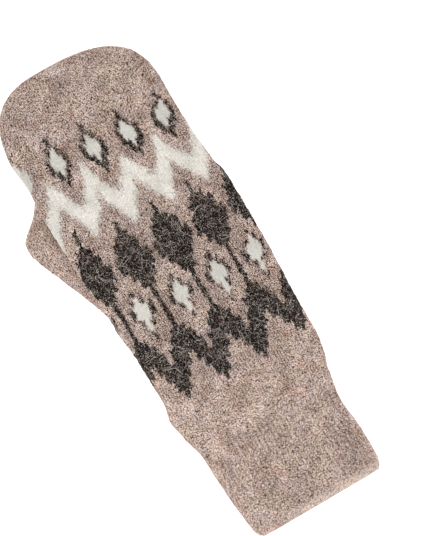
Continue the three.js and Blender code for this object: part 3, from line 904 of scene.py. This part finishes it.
# %% Sections of the thumb, outside and inside
def drawn_together(section, share):
    """A section drawn together to its middle: a share of 1 leaves it as it is, and 0 makes it a point."""
    middle = (section["left"] + section["right"]) / 2
    centres = {"left": middle, "right": middle, "top": section["side"], "low": section["side"]}
    for key, centre in centres.items():
        section[key] = centre + (section[key] - centre) * share
    return section


def outer_thumb_section(along):
    """The thumb's section, drawn together at both ends."""
    along = np.array(float(along))
    closing = np.sqrt(np.clip(np.minimum(along / CAPS[0], THUMB_LENGTH - along), 0, 1))
    return drawn_together(inset(*read_table(THUMB_SECTIONS, along), 0.0), closing)


def inner_thumb_section(along):
    """The hollow's section: the wall taken off, and drawn together at both ends."""
    outer_place = np.array(along + THUMB_WALL * float(ramp(*BEND, along)))
    section = inset(*read_table(THUMB_SECTIONS, np.minimum(outer_place, HOLLOW["last"])), THUMB_WALL)
    nearer = min((along - HOLLOW["start"]) / HOLLOW["foot"], (HOLLOW["end"] - along) / HOLLOW["cap"])
    return drawn_together(section, math.sqrt(float(np.clip(nearer, 0, 1))))


def thumb_skin(rows, columns, section_at, v_depth):
    """The points of a skin of the thumb, with the middles of its wales moved down by so many courses."""
    points = []
    for along in rows:
        section = section_at(along)
        _, arc = round_outline(section)
        across, up = at_length_round(arc, columns / THUMB_WALES * arc[-1])
        settle = ramp(3, 9, along) * (1 - ramp(100, 108, along))
        x, z = flat_place(section, across, up)
        x, y = from_thumb(along - v_depth * COURSE * wale_middle(columns) * settle, x)
        points.append(np.stack([x, y, z], axis=-1))
    return np.array(points)


# %% The thumb's two skins
thumb_base = thumb_skin(thumb_rows, thumb_columns, outer_thumb_section, V_DEPTH)
thumb_fade = (ramp(3, 8, thumb_rows) * (1 - ramp(110, 115, thumb_rows)))[:, None]
thumb_points, thumb_normals, thumb_groove = raised(
    thumb_base, thumb_columns[None, :], thumb_courses[:, None], thumb_fade, THUMB_LEG_HEIGHT, 71
)
# Painted light: the thumb is painted paler towards its tip.
thumb_painted_light = 0.7 + 1.9 * ramp(75, 105, thumb_rows)[:, None] + 0 * thumb_groove  # paler towards its tip
thumb = knit("thumb_knitting", thumb_points, thumb_columns, thumb_courses,
             {"groove": thumb_groove, "painted_light_and_tone": thumb_painted_light})

hollow_foot = HOLLOW["start"] + HOLLOW["foot"]
hollow_cap = HOLLOW["end"] - HOLLOW["cap"]
inner_along = np.concatenate([HOLLOW["start"] + HOLLOW["foot"] * np.linspace(0, 1, 5)[:-1] ** 2,
                              np.linspace(hollow_foot, hollow_cap, 64),
                              hollow_cap + HOLLOW["cap"] * np.sin(np.linspace(0, np.pi / 2, 5))[1:]])
inner_thumb_columns = np.arange(64) * THUMB_WALES / 64
thumb_lining = knit("thumb_inside", thumb_skin(inner_along, inner_thumb_columns, inner_thumb_section, 0.0),
                    inner_thumb_columns, inner_along / COURSE, {}, inwards=True)
open_way(thumb, lambda height, faces_up: faces_up > 0 and height > 2, THUMB_WALL)
open_way(thumb_lining, lambda height, faces_up: faces_up < 0 and height > 2, 0.0)

# %% The collar round the way in
COLLAR_GAP = 0.3  # between the collar and the palm over it


def palm_height(x, y):
    """How high the underside of the hand is over a place of the floor."""
    section, _ = hand_section(np.array(y), 0.0)
    middle, half = (section["left"] + section["right"]) / 2, (section["right"] - section["left"]) / 2
    across = np.clip((x - middle) / half, -1, 1)
    power = PALM_ROUND["across"]
    return float(body_place(section, across, -((1 - abs(across) ** power) ** (1 / power)), np.array(y))[2])


def draw_up(piece):
    """Extrudes the oval edge of a skin up to just under the palm."""
    select_only(piece)
    bpy.ops.object.mode_set(mode="EDIT")
    pick_open_edges(piece, lambda y: True)
    bpy.ops.mesh.extrude_region_move(TRANSFORM_OT_translate={"value": (0, 0, 0.0001)})
    mesh = bmesh.from_edit_mesh(piece.data)
    for vertex in mesh.verts:
        if vertex.select:
            vertex.co.z = (palm_height(*on_plan(vertex.co)) - COLLAR_GAP) * MM
    bmesh.update_edit_mesh(piece.data)
    bpy.ops.mesh.select_mode(type="VERT")
    bpy.ops.object.mode_set(mode="OBJECT")


draw_up(thumb)
draw_up(thumb_lining)
join(thumb, thumb_lining)
bridge(thumb, lambda y: True)
print("open edges left in the thumb:", open_edges(thumb))

# %% [markdown]
# ## Fuzz
# Felting raises fibres from the yarn. At the size of a photograph they are the most telling part of the
# surface: they cross the borders of the pattern, curl over the charcoal stitches as grey threads and stand
# out a little at the outline. A fibre is modelled once, as a ribbon of four faces, and copied over the skins
# with its own length, curl and tone. Each copy takes the yarn of the stitch that it grows from.

# %% One fibre
bpy.ops.object.select_all(action="DESELECT")
bpy.ops.mesh.primitive_grid_add(x_subdivisions=1, y_subdivisions=4, size=1)
one_fibre = bpy.context.object
FIBRE_FACES = np.array([list(face.vertices) for face in one_fibre.data.polygons])
FIBRE_POINTS = len(one_fibre.data.vertices)
bpy.data.objects.remove(one_fibre)
FIBRE_TAPER = [0.7, 1.0, 1.0, 0.8, 0.2]  # how wide each pair of points is
FIBRE_RISE = [-0.3, 0.6, 1.0, 1.0, 0.8]  # how high above the skin
SHORTENED = 0.67  # how much of its length a short fibre loses

# Most fibres are short and lie close. On the pattern there are long thin ones as well.
SHORT_FUZZ = {"length": (0.4, 1.2), "width": 0.17, "lift": 0.16, "curl": 0.45}
LONG_FUZZ = {"length": (2.0, 11.0), "width": 0.085, "lift": 0.28, "curl": 0.28}
print("a fibre has", len(FIBRE_FACES), "faces and", FIBRE_POINTS, "points")


# %% A field of fibres
def blend_cells(grid, i, j, s, t):
    """What a grid holds at shares s and t of its cells i and j."""
    k = (j + 1) % grid.shape[1]
    if grid.ndim == 3:
        s, t = s[:, None], t[:, None]
    low = grid[i, j] * (1 - s) + grid[i, k] * s
    high = grid[i + 1, j] * (1 - s) + grid[i + 1, k] * s
    return low * (1 - t) + high * t


def take_root(points, weight, count, dice):
    """Random places on a grid of points, as blend_cells reads them, thicker where the weight is more."""
    side_a = np.roll(points, -1, axis=1)[:-1] - points[:-1]
    side_b = points[1:] - points[:-1]
    chance = np.linalg.norm(np.cross(side_a, side_b), axis=-1) * weight[:-1]
    cells = dice.choice(chance.size, count, p=(chance / chance.sum()).reshape(-1))
    return *np.divmod(cells, chance.shape[1]), *dice.random((2, count))


def grow_ribbons(points, normals, roots, dice, look, short):
    """The points of the ribbons that grow from those roots."""
    count = len(roots[0])
    place = blend_cells(points, *roots)
    normal = blend_cells(normals, *roots)
    normal /= np.linalg.norm(normal, axis=1, keepdims=True)
    sideways = np.cross(normal, [0.0, 1.0, 0.0])
    sideways /= np.maximum(np.linalg.norm(sideways, axis=1, keepdims=True), 1e-6)
    upwards = np.cross(normal, sideways)
    heading = dice.uniform(0, 2 * np.pi, count)
    curl = dice.normal(0, look["curl"], count)
    step = dice.uniform(*look["length"], count) / 4
    if short is not None:
        step = step * (1 - SHORTENED * blend_cells(short, *roots))
    high = look["lift"] * dice.uniform(0.4, 1.6, count)
    wide = look["width"] * dice.uniform(0.6, 1.4, count)
    verts = np.empty((count, 5, 2, 3))
    for k, (taper, rise) in enumerate(zip(FIBRE_TAPER, FIBRE_RISE)):
        way = np.cos(heading)[:, None] * sideways + np.sin(heading)[:, None] * upwards
        centre = place + normal * (high * rise)[:, None]
        edge = np.cross(way, normal) * (wide * taper / 2)[:, None]
        verts[:, k, 0] = centre - edge
        verts[:, k, 1] = centre + edge
        place = place + way * step[:, None]
        heading = heading + curl + dice.normal(0, 0.35, count)
    verts[..., 2] = np.maximum(verts[..., 2], OFF_FLOOR)
    return verts


def fuzz(name, points, normals, count, seed, look, weight, yarns, short=None):
    """Count fibres rooted on a grid, as one mesh. Where short is 1 they keep a third of their length."""
    dice = np.random.default_rng(seed)
    roots = take_root(points, weight, count, dice)
    verts = grow_ribbons(points, normals, roots, dice, look, short)
    faces = (FIBRE_FACES[None] + FIBRE_POINTS * np.arange(count)[:, None, None]).reshape(-1, 4)
    mesh = bpy.data.meshes.new(name)
    mesh.vertices.add(count * FIBRE_POINTS)
    mesh.vertices.foreach_set("co", to_frame(verts.reshape(-1, 3)).reshape(-1).astype(np.float32))
    mesh.loops.add(faces.size)
    mesh.loops.foreach_set("vertex_index", faces.reshape(-1).astype(np.int32))
    mesh.polygons.add(len(faces))
    mesh.polygons.foreach_set("loop_start", np.arange(0, faces.size, 4, dtype=np.int32))
    mesh.update(calc_edges=True)
    values = {key: blend_cells(grid, *roots) for key, grid in yarns.items()}
    values["tone"] = dice.random(count)
    keep_values(mesh, {key: np.repeat(value, FIBRE_POINTS) for key, value in values.items()})
    piece = bpy.data.objects.new(name, mesh)
    bpy.context.scene.collection.objects.link(piece)
    print(name, "has", count, "fibres and", 2 * len(faces), "triangles")
    return piece


# %% Fuzz on the hand
def open_air(points, normals, at_outline=0.22):
    """How thickly fibres grow: all on top, few at the outline and below, and none where the floor is."""
    return np.where(normals[..., 2] > 0.45, 1.0, at_outline) * (points[..., 2] > 0.4)


hand_yarns = {"white": hand_white, "charcoal": hand_charcoal}
ground_weight = 1 - np.maximum(0.8 * hand_charcoal, 0.6 * hand_white)
motif_weight = 0.01 + hand_charcoal + 0.35 * hand_white
near_edge = 1 - ramp(3, 12, side_room(hand_points))
ground_fuzz = fuzz("ground_fuzz", hand_points, hand_normals, 24000, 101, SHORT_FUZZ,
                   open_air(hand_points, hand_normals) * ground_weight, hand_yarns, in_small)
motif_fuzz = fuzz("motif_fuzz", hand_points, hand_normals, 6500, 102, LONG_FUZZ,
                  open_air(hand_points, hand_normals, 0.04) * motif_weight, hand_yarns,
                  np.maximum(in_small, near_edge))

# %% Fuzz on the cuff and the thumb
THUMB_SHOWS = -38  # to the right of this the hand hides the thumb, so few fibres grow there
cuff_fuzz = fuzz("cuff_fuzz", cuff_points, cuff_normals, 12000, 103, SHORT_FUZZ,
                 open_air(cuff_points, cuff_normals), {"cast_on": cuff_edge})
thumb_weight = np.where(thumb_points[..., 0] < THUMB_SHOWS, 1.0, 0.15)
thumb_fuzz = fuzz("thumb_fuzz", thumb_points, thumb_normals, 5500, 104, SHORT_FUZZ,
                  open_air(thumb_points, thumb_normals) * thumb_weight, {})

# %% [markdown]
# ## The wool's colours
# The ground is heather yarn: fleece of several colours carded together. Seen from near, its hue changes
# slowly from patch to patch, and its lightness from fibre to fibre. Noise that is stretched along a few
# directions looks like such fibres, and thin lines where a smooth noise crosses its middle value look like
# single curly ones. Hard-edged specks and a few dots are the ends of pale and dark fibres. The numbers kept
# on the mesh do the rest: grooves are darkened as painted shade, painted light and shade make some places
# paler and others darker, and the chart's weights place the yarns.

# %% Helpers for nodes
def srgb(red, green, blue):
    """A colour as the eye reads it, from 0 to 255, in the linear light that shaders use."""
    def linear(v):
        v = v / 255
        return v / 12.92 if v <= 0.04045 else ((v + 0.055) / 1.055) ** 2.4
    return (linear(red), linear(green), linear(blue), 1.0)


def put(tree, kind, inputs=None, **settings):
    """Adds a node, with its settings, and sets or links its inputs."""
    node = tree.nodes.new(kind)
    for key, value in settings.items():
        setattr(node, key, value)
    for key, value in (inputs or {}).items():
        if isinstance(value, bpy.types.NodeSocket):
            tree.links.new(value, node.inputs[key])
        else:
            node.inputs[key].default_value = value
    return node


def math_node(tree, operation, a, b=0.0, clamp=False):
    return put(tree, "ShaderNodeMath", {0: a, 1: b}, operation=operation, use_clamp=clamp).outputs[0]


def times(tree, a, b):
    return math_node(tree, "MULTIPLY", a, b)


def step_between(tree, value, low, high):
    """A smooth step from 0 at low to 1 at high."""
    found = put(tree, "ShaderNodeMapRange", {"Value": value, "From Min": low, "From Max": high},
                interpolation_type="SMOOTHSTEP")
    return found.outputs["Result"]


def mix(tree, factor, a, b, blend="MIX"):
    found = put(tree, "ShaderNodeMix", {0: factor, 6: a, 7: b}, data_type="RGBA", blend_type=blend)
    return found.outputs[2]


def ramp_node(tree, value, stops):
    """Colours that follow a value, from stops of a place and a colour."""
    found = put(tree, "ShaderNodeValToRGB", {"Fac": value})
    points = found.color_ramp.elements
    while len(points) < len(stops):
        points.new(0.5)
    for point, (place, colour) in zip(points, stops):
        point.position = place
        point.color = colour
    return found.outputs["Color"]


def attribute(tree, name):
    """A number that is kept on the mesh."""
    return put(tree, "ShaderNodeAttribute", attribute_name=name).outputs["Fac"]


def lit_by(tree, colour, *factors):
    """The colour times every factor."""
    for factor in factors:
        colour = put(tree, "ShaderNodeVectorMath", {0: colour, "Scale": factor}, operation="SCALE").outputs[0]
    return colour


def new_material(name):
    material = bpy.data.materials.new(name)
    material.use_nodes = True
    return material, material.node_tree


print("mid grey is", round(srgb(128, 128, 128)[0], 3), "in linear light")

# %% Fibres as noise
BEND_SCALE = 520.0
BEND_REACH = (0.0012, 0.0012, 0.0012)
STRAND_TURNS = (12, 71, 133)  # degrees
STRAND_LEAN = (0.3, 0.2)
print("strands lie at", STRAND_TURNS, "degrees")


def wobbled(tree):
    """Object coordinates bent by part of a millimetre, so that straight fibres curl, and unbent ones."""
    place = put(tree, "ShaderNodeTexCoord").outputs["Object"]
    push = put(tree, "ShaderNodeTexNoise", {"Vector": place, "Scale": BEND_SCALE, "Detail": 1.0})
    bent = put(tree, "ShaderNodeVectorMath", {0: push.outputs["Color"], 1: BEND_REACH, 2: place},
               operation="MULTIPLY_ADD")
    return bent.outputs[0], place


def strands(tree, place, degrees, size):
    """Noise that is stretched in one direction: fibres of that width and length, in metres."""
    turn = (*STRAND_LEAN, math.radians(degrees))
    turned = put(tree, "ShaderNodeMapping", {"Vector": place, "Rotation": turn, "Scale": size},
                 vector_type="TEXTURE")
    noise = put(tree, "ShaderNodeTexNoise", {"Vector": turned.outputs[0], "Scale": 1.0, "Detail": 2.0,
                                             "Roughness": 0.55})
    return noise.outputs["Fac"]


def crossing_strands(tree, place, size):
    """Strands in three directions, the lightest on top."""
    a, b, c = (strands(tree, place, turn, size) for turn in STRAND_TURNS)
    return math_node(tree, "MAXIMUM", math_node(tree, "MAXIMUM", a, b), c)


def curly_lines(tree, place, scale, thin):
    """Thin curly lines: 1 on them and 0 elsewhere."""
    noise = put(tree, "ShaderNodeTexNoise", {"Vector": place, "Scale": scale, "Detail": 1.5}).outputs["Fac"]
    off = math_node(tree, "ABSOLUTE", math_node(tree, "SUBTRACT", noise, 0.5))
    return step_between(tree, off, thin, thin * 0.3)


def wavering(tree, place, scale, low, high):
    """A factor that wavers smoothly between low and high. The higher the scale, the finer its flecks."""
    noise = put(tree, "ShaderNodeTexNoise", {"Vector": place, "Scale": scale, "Detail": 0.0}).outputs["Fac"]
    return put(tree, "ShaderNodeMapRange", {"Value": noise, "From Min": 0.34, "From Max": 0.66,
                                            "To Min": low, "To Max": high}).outputs["Result"]


def three_noises(tree, place, scale, detail):
    """Three noises of one size that have nothing to do with each other."""
    noise = put(tree, "ShaderNodeTexNoise", {"Vector": place, "Scale": scale, "Detail": detail})
    return list(put(tree, "ShaderNodeSeparateColor", {"Color": noise.outputs["Color"]}).outputs)


# %% The yarns
HEATHER = srgb(196, 172, 160)
REDDISH_BROWN = srgb(173, 136, 119)
STRAW = srgb(197, 179, 156)
LILAC_GREY = srgb(203, 186, 182)
HEATHER_PATCHES = ((200.0, 1.0), (90.0, 0.75))  # scale and amount
CHARCOAL_YARN = [
    (0.50, srgb(8, 6, 5)), (0.60, srgb(20, 14, 11)), (0.69, srgb(38, 27, 23)), (0.80, srgb(72, 58, 50)),
]
CHARCOAL_PATCHES = [(0.60, srgb(90, 58, 44)), (0.50, srgb(62, 56, 54)), (0.80, srgb(10, 7, 6))]
CHARCOAL_PATCH_SCALE = 90.0
WHITE_YARN = [(0.44, srgb(203, 198, 190)), (0.56, srgb(226, 222, 213)), (0.70, srgb(241, 238, 232))]

# threshold, breadth of the step, strength and colour of each kind of speck
HEATHER_SPECKS = [(0.47, 0.05, 0.76, srgb(248, 226, 214)), (0.53, 0.04, 1.0, srgb(52, 22, 8))]
CHARCOAL_SPECKS = [(0.595, 0.05, 0.95, srgb(174, 158, 147)), (0.45, 0.05, 1.0, srgb(4, 3, 2))]
SPECK_SCALE = 1950.0
# millimetres apart, radius and colour
HEATHER_DOTS = (1.6, 0.29, srgb(30, 12, 5))
CHARCOAL_DOTS = (1.5, 0.24, srgb(204, 192, 183))
GROOVE_SHADE = srgb(104, 82, 74)
WHITE_GROOVE_SHADE = srgb(150, 140, 130)
THIN_WHITE = srgb(176, 175, 169)
GREY_THREAD = srgb(158, 149, 143)
# paler doubled yarn and painted highlight of the cast-on edge
CAST_ON_YARN_AND_HIGHLIGHT = srgb(212, 195, 184)
WOOL_SHEEN = srgb(225, 212, 204)
print(len(HEATHER_SPECKS) + len(CHARCOAL_SPECKS), "kinds of speck")


# %% Specks, dots, patches and the heather ground
def specks(tree, place, colour, kinds):
    """Specks as big as the ends of fibres, of several colours."""
    noises = three_noises(tree, place, SPECK_SCALE, 0.0)
    for noise, (threshold, breadth, strength, speck) in zip(noises, kinds):
        share = times(tree, step_between(tree, noise, threshold, threshold + breadth), strength)
        colour = mix(tree, share, colour, speck)
    return colour


def dots(tree, place, colour, apart, radius, dot):
    """Dots where single fibres of another colour come through, so many millimetres apart and so large."""
    off = put(tree, "ShaderNodeTexVoronoi", {"Vector": place, "Scale": 1000 / apart}).outputs["Distance"]
    return mix(tree, step_between(tree, off, 1.15 * radius / apart, 0.85 * radius / apart), colour, dot)


def patches(tree, noise, amount, colour, fleece):
    """Patches where one fleece outweighs the others."""
    return mix(tree, times(tree, step_between(tree, noise, 0.47, 0.68), amount), colour, fleece)


def heather(tree, bent, place, uneven=0.14):
    """The heather ground, and the strands in it."""
    ground = HEATHER
    for scale, amount in HEATHER_PATCHES:
        for noise, fleece in zip(three_noises(tree, place, scale, 1.0), (REDDISH_BROWN, STRAW, LILAC_GREY)):
            ground = patches(tree, noise, amount, ground, fleece)
    flecks = crossing_strands(tree, bent, (0.00042, 0.0012, 0.0007))
    strand = put(tree, "ShaderNodeMapRange", {"Value": flecks, "From Min": 0.46, "From Max": 0.72,
                                              "To Min": 0.91, "To Max": 1.09}).outputs["Result"]
    line = math_node(tree, "ADD", times(tree, curly_lines(tree, bent, 420.0, 0.012), -0.2), 1.0)
    # Painted light and shade kept on the mesh make the ground paler in some places and darker in others.
    paler = math_node(tree, "ADD", times(tree, attribute(tree, "painted_light_and_tone"), 0.14), 1.0)
    shade = wavering(tree, place, 120.0, 1 - uneven, 1 + 0.5 * uneven)
    ground = lit_by(tree, ground, strand, line, paler, shade)
    ground = specks(tree, bent, ground, HEATHER_SPECKS)
    return dots(tree, bent, ground, *HEATHER_DOTS), flecks


# %% The finish of wool
WOOL_ROUGHNESS = 0.92
WOOL_SPECULAR = 0.12
SHEEN_ROUGHNESS = 0.3
BUMP = {"Strength": 0.6, "Distance": 0.0005}
SHEEN = {"patterned": 0.18, "plain": 0.30, "fibres": 0.15}
print("sheen", SHEEN)


def finish_wool(material, tree, colour, height, sheen):
    """Wool is dull, and a little sheen at the edges stands for the finest hairs."""
    shader = tree.nodes["Principled BSDF"]
    tree.links.new(colour, shader.inputs["Base Color"])
    shader.inputs["Roughness"].default_value = WOOL_ROUGHNESS
    shader.inputs["Specular IOR Level"].default_value = WOOL_SPECULAR
    shader.inputs["Sheen Weight"].default_value = sheen
    shader.inputs["Sheen Roughness"].default_value = SHEEN_ROUGHNESS
    shader.inputs["Sheen Tint"].default_value = WOOL_SHEEN
    bump = put(tree, "ShaderNodeBump", {"Height": height, **BUMP})
    tree.links.new(bump.outputs["Normal"], shader.inputs["Normal"])
    return material


def shade_grooves(tree, colour, amount, shade):
    """Darkens a colour in the grooves between the stitches, as painted shade."""
    return mix(tree, times(tree, attribute(tree, "groove"), amount), colour, shade, "MULTIPLY")


# %% The patterned knitting
def crossed(tree, yarn, stray, amount, low, high):
    """Where a yarn shows: its weight on the mesh, with fibres that cross its borders."""
    weight = math_node(tree, "ADD", attribute(tree, yarn), times(tree, stray, amount))
    return step_between(tree, weight, low, high)


def white_wool(tree, bent, flecks):
    """The off-white yarn, thinner over the small diamonds."""
    colour = lit_by(tree, ramp_node(tree, flecks, WHITE_YARN), wavering(tree, bent, 1700.0, 0.84, 1.07))
    colour = shade_grooves(tree, colour, 0.25, WHITE_GROOVE_SHADE)
    return mix(tree, times(tree, attribute(tree, "small"), 0.5), colour, THIN_WHITE)


def charcoal_wool(tree, bent, place, flecks):
    """The charcoal yarn, with grey threads, patches, specks and dots."""
    threads = times(tree, curly_lines(tree, bent, 470.0, 0.010), 0.6)
    colour = mix(tree, threads, ramp_node(tree, flecks, CHARCOAL_YARN), GREY_THREAD)
    noises = three_noises(tree, place, CHARCOAL_PATCH_SCALE, 1.0)
    for noise, (amount, fleece) in zip(noises, CHARCOAL_PATCHES):
        colour = patches(tree, noise, amount, colour, fleece)
    colour = lit_by(tree, specks(tree, bent, colour, CHARCOAL_SPECKS), 0.84)
    return dots(tree, bent, colour, *CHARCOAL_DOTS)


def patterned_wool():
    material, tree = new_material("patterned_wool")
    bent, place = wobbled(tree)
    colour, flecks = heather(tree, bent, place)
    colour = shade_grooves(tree, colour, 0.55, GROOVE_SHADE)
    stray = math_node(tree, "SUBTRACT", crossing_strands(tree, bent, (0.0004, 0.0030, 0.0009)), 0.6)
    white = crossed(tree, "white", stray, 2.6, 0.22, 0.80)
    colour = mix(tree, white, colour, white_wool(tree, bent, flecks))
    charcoal = crossed(tree, "charcoal", stray, 3.4, 0.36, 0.60)
    colour = mix(tree, charcoal, colour, charcoal_wool(tree, bent, place, flecks))
    return finish_wool(material, tree, colour, flecks, SHEEN["patterned"])


hand_wool = patterned_wool()
print("the patterned wool has", len(hand_wool.node_tree.nodes), "nodes")


# %% The plain knitting and the ribbing
def plain_wool():
    material, tree = new_material("plain_wool")
    colour, flecks = heather(tree, *wobbled(tree))
    colour = shade_grooves(tree, colour, 0.55, GROOVE_SHADE)
    return finish_wool(material, tree, colour, flecks, SHEEN["plain"])


def ribbed_wool():
    material, tree = new_material("ribbed_wool")
    colour, flecks = heather(tree, *wobbled(tree), uneven=0.40)
    colour = shade_grooves(tree, colour, 0.5, GROOVE_SHADE)
    # The cast-on edge: paler doubled yarn and a painted highlight where the rolled edge faces the light.
    colour = mix(tree, times(tree, attribute(tree, "cast_on"), 0.35), colour, CAST_ON_YARN_AND_HIGHLIGHT)
    return finish_wool(material, tree, colour, flecks, SHEEN["plain"])


thumb_wool = plain_wool()
cuff_wool = ribbed_wool()
print("the ribbed wool has", len(cuff_wool.node_tree.nodes), "nodes")

# %% The fibres
HEATHER_FIBRES = [
    (0.0, srgb(52, 32, 24)), (0.16, srgb(98, 70, 58)), (0.34, srgb(164, 135, 121)),
    (0.60, srgb(196, 172, 159)), (0.86, srgb(220, 200, 189)), (1.0, srgb(243, 230, 221)),
]
CHARCOAL_FIBRES = [
    (0.0, srgb(12, 8, 6)), (0.62, srgb(28, 19, 15)), (0.76, srgb(90, 77, 69)),
    (0.88, srgb(188, 178, 170)), (1.0, srgb(236, 228, 221)),
]


def fibre_wool(name, patterned):
    """Each fibre has one tone, which changes a little along it, in the colours of the yarn it grows from."""
    material, tree = new_material(name)
    place = put(tree, "ShaderNodeTexCoord").outputs["Object"]
    patch = put(tree, "ShaderNodeTexNoise", {"Vector": place, "Scale": 900.0, "Detail": 1.0}).outputs["Fac"]
    shift = times(tree, math_node(tree, "SUBTRACT", patch, 0.5), 0.3)
    tone = math_node(tree, "ADD", attribute(tree, "tone"), shift, clamp=True)
    colour = ramp_node(tree, tone, HEATHER_FIBRES)
    if patterned:
        for yarn, stops in (("white", WHITE_YARN), ("charcoal", CHARCOAL_FIBRES)):
            share = step_between(tree, attribute(tree, yarn), 0.3, 0.6)
            colour = mix(tree, share, colour, ramp_node(tree, tone, stops))
    return finish_wool(material, tree, colour, patch, SHEEN["fibres"])


pattern_fibres = fibre_wool("pattern_fibres", True)
plain_fibres = fibre_wool("plain_fibres", False)
print("fibres have", len(HEATHER_FIBRES), "heather tones and", len(CHARCOAL_FIBRES), "charcoal ones")

# %% [markdown]
# ## Dressing the frame
# Each knitted piece stands for the plain solid of its name, which is hidden, and rides on the same body. The
# fuzz rides on that body as well, with a fibre finish of its own.

# %% Materials and bodies
DRESSED = [
    (hand, hand_wool, "patterned_wool", "hand"), (cuff, cuff_wool, "ribbed_wool", "cuff"),
    (thumb, thumb_wool, "plain_wool", "thumb"), (ground_fuzz, pattern_fibres, "patterned_wool", None),
    (motif_fuzz, pattern_fibres, "patterned_wool", None), (cuff_fuzz, plain_fibres, "ribbed_wool", None),
    (thumb_fuzz, plain_fibres, "plain_wool", None),
]
for piece, material, slot_name, node in DRESSED:
    piece.data.materials.clear()
    piece.data.materials.append(material)
    piece.data.polygons.foreach_set("use_smooth", np.ones(len(piece.data.polygons), bool))
    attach(piece, "root")
    if node:
        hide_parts(node)
    triangles = sum(len(face.vertices) - 2 for face in piece.data.polygons)
    print(piece.name, triangles, "triangles")

# %% [markdown]
# ## Floor, light and camera
# The mitten lies on a white table and is seen from straight above, turned so that it points to the upper
# left. A long lens keeps it almost free of perspective. The light is broad and soft, a little stronger from
# the lower left. The table glows softly, so that it stays white and only a faint shadow is left on it.

# %% The floor
TABLE_WHITE = [(0.3, srgb(247, 247, 247)), (0.7, srgb(250, 250, 250))]
TABLE_GLOW = 0.62
WHITE_LIGHT = (1.0, 1.0, 1.0, 1.0)
bpy.ops.object.select_all(action="DESELECT")
bpy.ops.mesh.primitive_plane_add(size=6, location=(0, 0, 0))
floor = bpy.context.object
floor.name = "table_top"
floor_paint, floor_tree = new_material("white_table")
floor_place = put(floor_tree, "ShaderNodeTexCoord").outputs["Object"]
cloudy = put(floor_tree, "ShaderNodeTexNoise", {"Vector": floor_place, "Scale": 3.0}).outputs["Fac"]
floor_shader = floor_tree.nodes["Principled BSDF"]
floor_tree.links.new(ramp_node(floor_tree, cloudy, TABLE_WHITE), floor_shader.inputs["Base Color"])
floor_shader.inputs["Roughness"].default_value = 0.9
floor_shader.inputs["Specular IOR Level"].default_value = 0.1
floor_shader.inputs["Emission Color"].default_value = WHITE_LIGHT
floor_shader.inputs["Emission Strength"].default_value = TABLE_GLOW
floor.data.materials.append(floor_paint)
print("the table is", round(floor.dimensions.x), "m wide")

# %% The light
ROOM_LIGHT = 0.80
world = bpy.data.worlds.new("studio")
bpy.context.scene.world = world
world.use_nodes = True
room = world.node_tree.nodes["Background"]
room.inputs["Color"].default_value = WHITE_LIGHT
room.inputs["Strength"].default_value = ROOM_LIGHT


def soft_light(name, place, size, power):
    """A square lamp that shines at the mitten."""
    bpy.ops.object.light_add(type="AREA", location=place)
    lamp = bpy.context.object
    lamp.name = name
    lamp.data.shape = "SQUARE"
    lamp.data.size = size
    lamp.data.energy = power
    lamp.rotation_euler = (Vector((0, 0, 0)) - lamp.location).to_track_quat("-Z", "Y").to_euler()
    print(name, "gives", power, "W")


soft_light("soft_box", (-1.3, -1.0, 1.5), 1.8, 24)
soft_light("fill", (1.3, 0.2, 1.6), 1.8, 14)

# %% The camera
FRAME_HEIGHT = 0.2948  # metres of table from the bottom to the top of the picture
CAMERA_HEIGHT = 2.0
SENSOR = 24.0
AIM = (0.02394, 0.00075, 0.012)  # the middle of the picture
POINTS_LEFT = -30.4  # degrees that turn the mitten to the upper left
bpy.ops.object.camera_add(location=(AIM[0], AIM[1], CAMERA_HEIGHT + AIM[2]),
                          rotation=(0, 0, math.radians(POINTS_LEFT)))
camera = bpy.context.object
camera.data.sensor_fit = "VERTICAL"
camera.data.sensor_height = SENSOR
camera.data.lens = SENSOR * CAMERA_HEIGHT / FRAME_HEIGHT
camera.data.clip_end = 20
bpy.context.scene.camera = camera
bpy.context.scene.view_settings.view_transform = "Standard"
print("lens", round(camera.data.lens, 1), "mm")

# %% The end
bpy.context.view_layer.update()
